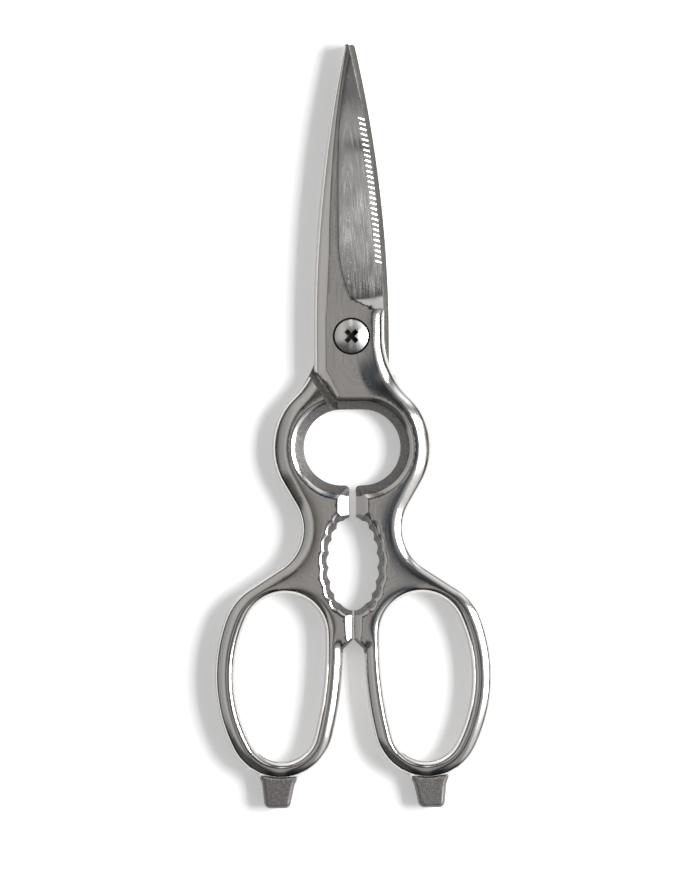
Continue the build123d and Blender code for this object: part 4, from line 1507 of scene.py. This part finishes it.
def studio_world():
    """Room as the steel mirrors it: light walls, a dark horizon and darker patches beside the camera."""
    world = bpy.data.worlds.new("studio")
    world.use_nodes = True
    bpy.context.scene.world = world
    tree = world.node_tree
    tree.nodes.clear()
    way = node(tree, "ShaderNodeTexCoord").outputs["Generated"]
    parts = node(tree, "ShaderNodeSeparateXYZ", {0: way}).outputs
    sideways = ramp(tree, parts["X"], SIDEWAYS_SHADES)
    upwards = ramp(tree, parts["Z"], UPWARDS_SHADES)
    to_right = mapped(tree, parts["X"], LEFT_ENDS, RIGHT_STARTS)
    right_shades = ramp(tree, parts["Y"], RIGHT_SHADES)
    left_shades = ramp(tree, parts["Y"], LEFT_SHADES)
    lengthways = mixed(tree, to_right, left_shades, right_shades)
    across = mixed(tree, 1.0, sideways, lengthways, "MULTIPLY")
    colour = mixed(tree, 1.0, across, upwards, "MULTIPLY")
    studio = node(tree, "ShaderNodeBackground", {"Color": colour, "Strength": 1.0})
    path = node(tree, "ShaderNodeLightPath")
    seen = calc(tree, "MAXIMUM", path.outputs["Is Camera Ray"], path.outputs["Is Transmission Ray"])
    backdrop = node(tree, "ShaderNodeBackground", {"Color": (1, 1, 1, 1), "Strength": 1.0})
    both = node(tree, "ShaderNodeMixShader", {0: seen, 1: studio.outputs[0], 2: backdrop.outputs[0]})
    node(tree, "ShaderNodeOutputWorld", {"Surface": both.outputs[0]})


class SHEARS_OT_stage(bpy.types.Operator):
    """Lays out the floor, the lamp, the studio and the camera"""
    bl_idname = "shears.stage"
    bl_label = "Stage"

    def execute(self, context):
        stage = context.scene.shears_stage
        corners = [(x * FLOOR_REACH, y * FLOOR_REACH, 0) for x, y in ((-1, -1), (1, -1), (1, 1), (-1, 1))]
        mesh = bpy.data.meshes.new("floor")
        mesh.from_pydata(corners, [], [(0, 1, 2, 3)])
        mesh.materials.append(white_paper(stage.floor_colour, stage.floor_glow))
        floor = bpy.data.objects.new("floor", mesh)
        floor.location.z = -FLOOR_DROP * MM
        context.scene.collection.objects.link(floor)

        key = bpy.data.lights.new("key", "AREA")
        key.shape = "RECTANGLE"
        key.size, key.size_y = stage.lamp_width, stage.lamp_height
        key.energy = stage.lamp_power
        lamp = bpy.data.objects.new("key", key)
        direction = Vector(stage.lamp_place).normalized()
        lamp.location = direction * stage.lamp_distance
        lamp.rotation_euler = direction.to_track_quat("Z", "Y").to_euler()
        context.scene.collection.objects.link(lamp)
        studio_world()

        camera = bpy.data.cameras.new("camera")
        camera.sensor_fit = "VERTICAL"
        tall = PHOTO[1] * SCALE * MM
        camera.angle = 2 * atan(tall / 2 / (stage.camera_height - SCALE_HEIGHT))
        eye = bpy.data.objects.new("camera", camera)
        offset = Vector((PHOTO[0] / 2 - PIVOT_PX[0], PIVOT_PX[1] - PHOTO[1] / 2, 0)) * SCALE * MM
        offset.rotate(Euler((0, 0, radians(ROLL))))
        eye.location = offset + Vector((0, 0, stage.camera_height))
        eye.rotation_euler = (0, 0, radians(ROLL))
        context.scene.collection.objects.link(eye)
        context.scene.camera = eye
        context.scene.view_settings.view_transform = "Standard"
        return {"FINISHED"}


OPERATORS = (SHEARS_OT_halves, SHEARS_OT_screw, SHEARS_OT_washer, SHEARS_OT_nut, SHEARS_OT_stage)
SETTINGS = {
    "shears_teeth": ShearsTeeth,
    "shears_finish": ShearsFinish,
    "shears_pivot": ShearsPivot,
    "shears_stage": ShearsStage,
}


class SHEARS_PT_sidebar(bpy.types.Panel):
    """Lists the pieces of the shears and their settings"""
    bl_idname = "SHEARS_PT_sidebar"
    bl_label = "Kitchen Shears"
    bl_space_type = "VIEW_3D"
    bl_region_type = "UI"
    bl_category = "Shears"

    def draw(self, context):
        for operator in OPERATORS:
            self.layout.operator(operator.bl_idname)
        for name, group in SETTINGS.items():
            box = self.layout.box()
            box.label(text=group.__doc__)
            for setting in group.__annotations__:
                box.prop(getattr(context.scene, name), setting)


def register():
    for group in SETTINGS.values():
        bpy.utils.register_class(group)
    for operator in OPERATORS:
        bpy.utils.register_class(operator)
    bpy.utils.register_class(SHEARS_PT_sidebar)
    for name, group in SETTINGS.items():
        setattr(bpy.types.Scene, name, bpy.props.PointerProperty(type=group))


def unregister():
    for name in SETTINGS:
        delattr(bpy.types.Scene, name)
    bpy.utils.unregister_class(SHEARS_PT_sidebar)
    for operator in reversed(OPERATORS):
        bpy.utils.unregister_class(operator)
    for group in reversed(SETTINGS.values()):
        bpy.utils.unregister_class(group)


def main():
    register()
    bpy.ops.shears.halves()
    bpy.ops.shears.screw()
    bpy.ops.shears.washer()
    bpy.ops.shears.nut()
    bpy.ops.shears.stage()


if __name__ == "__main__":
    main()
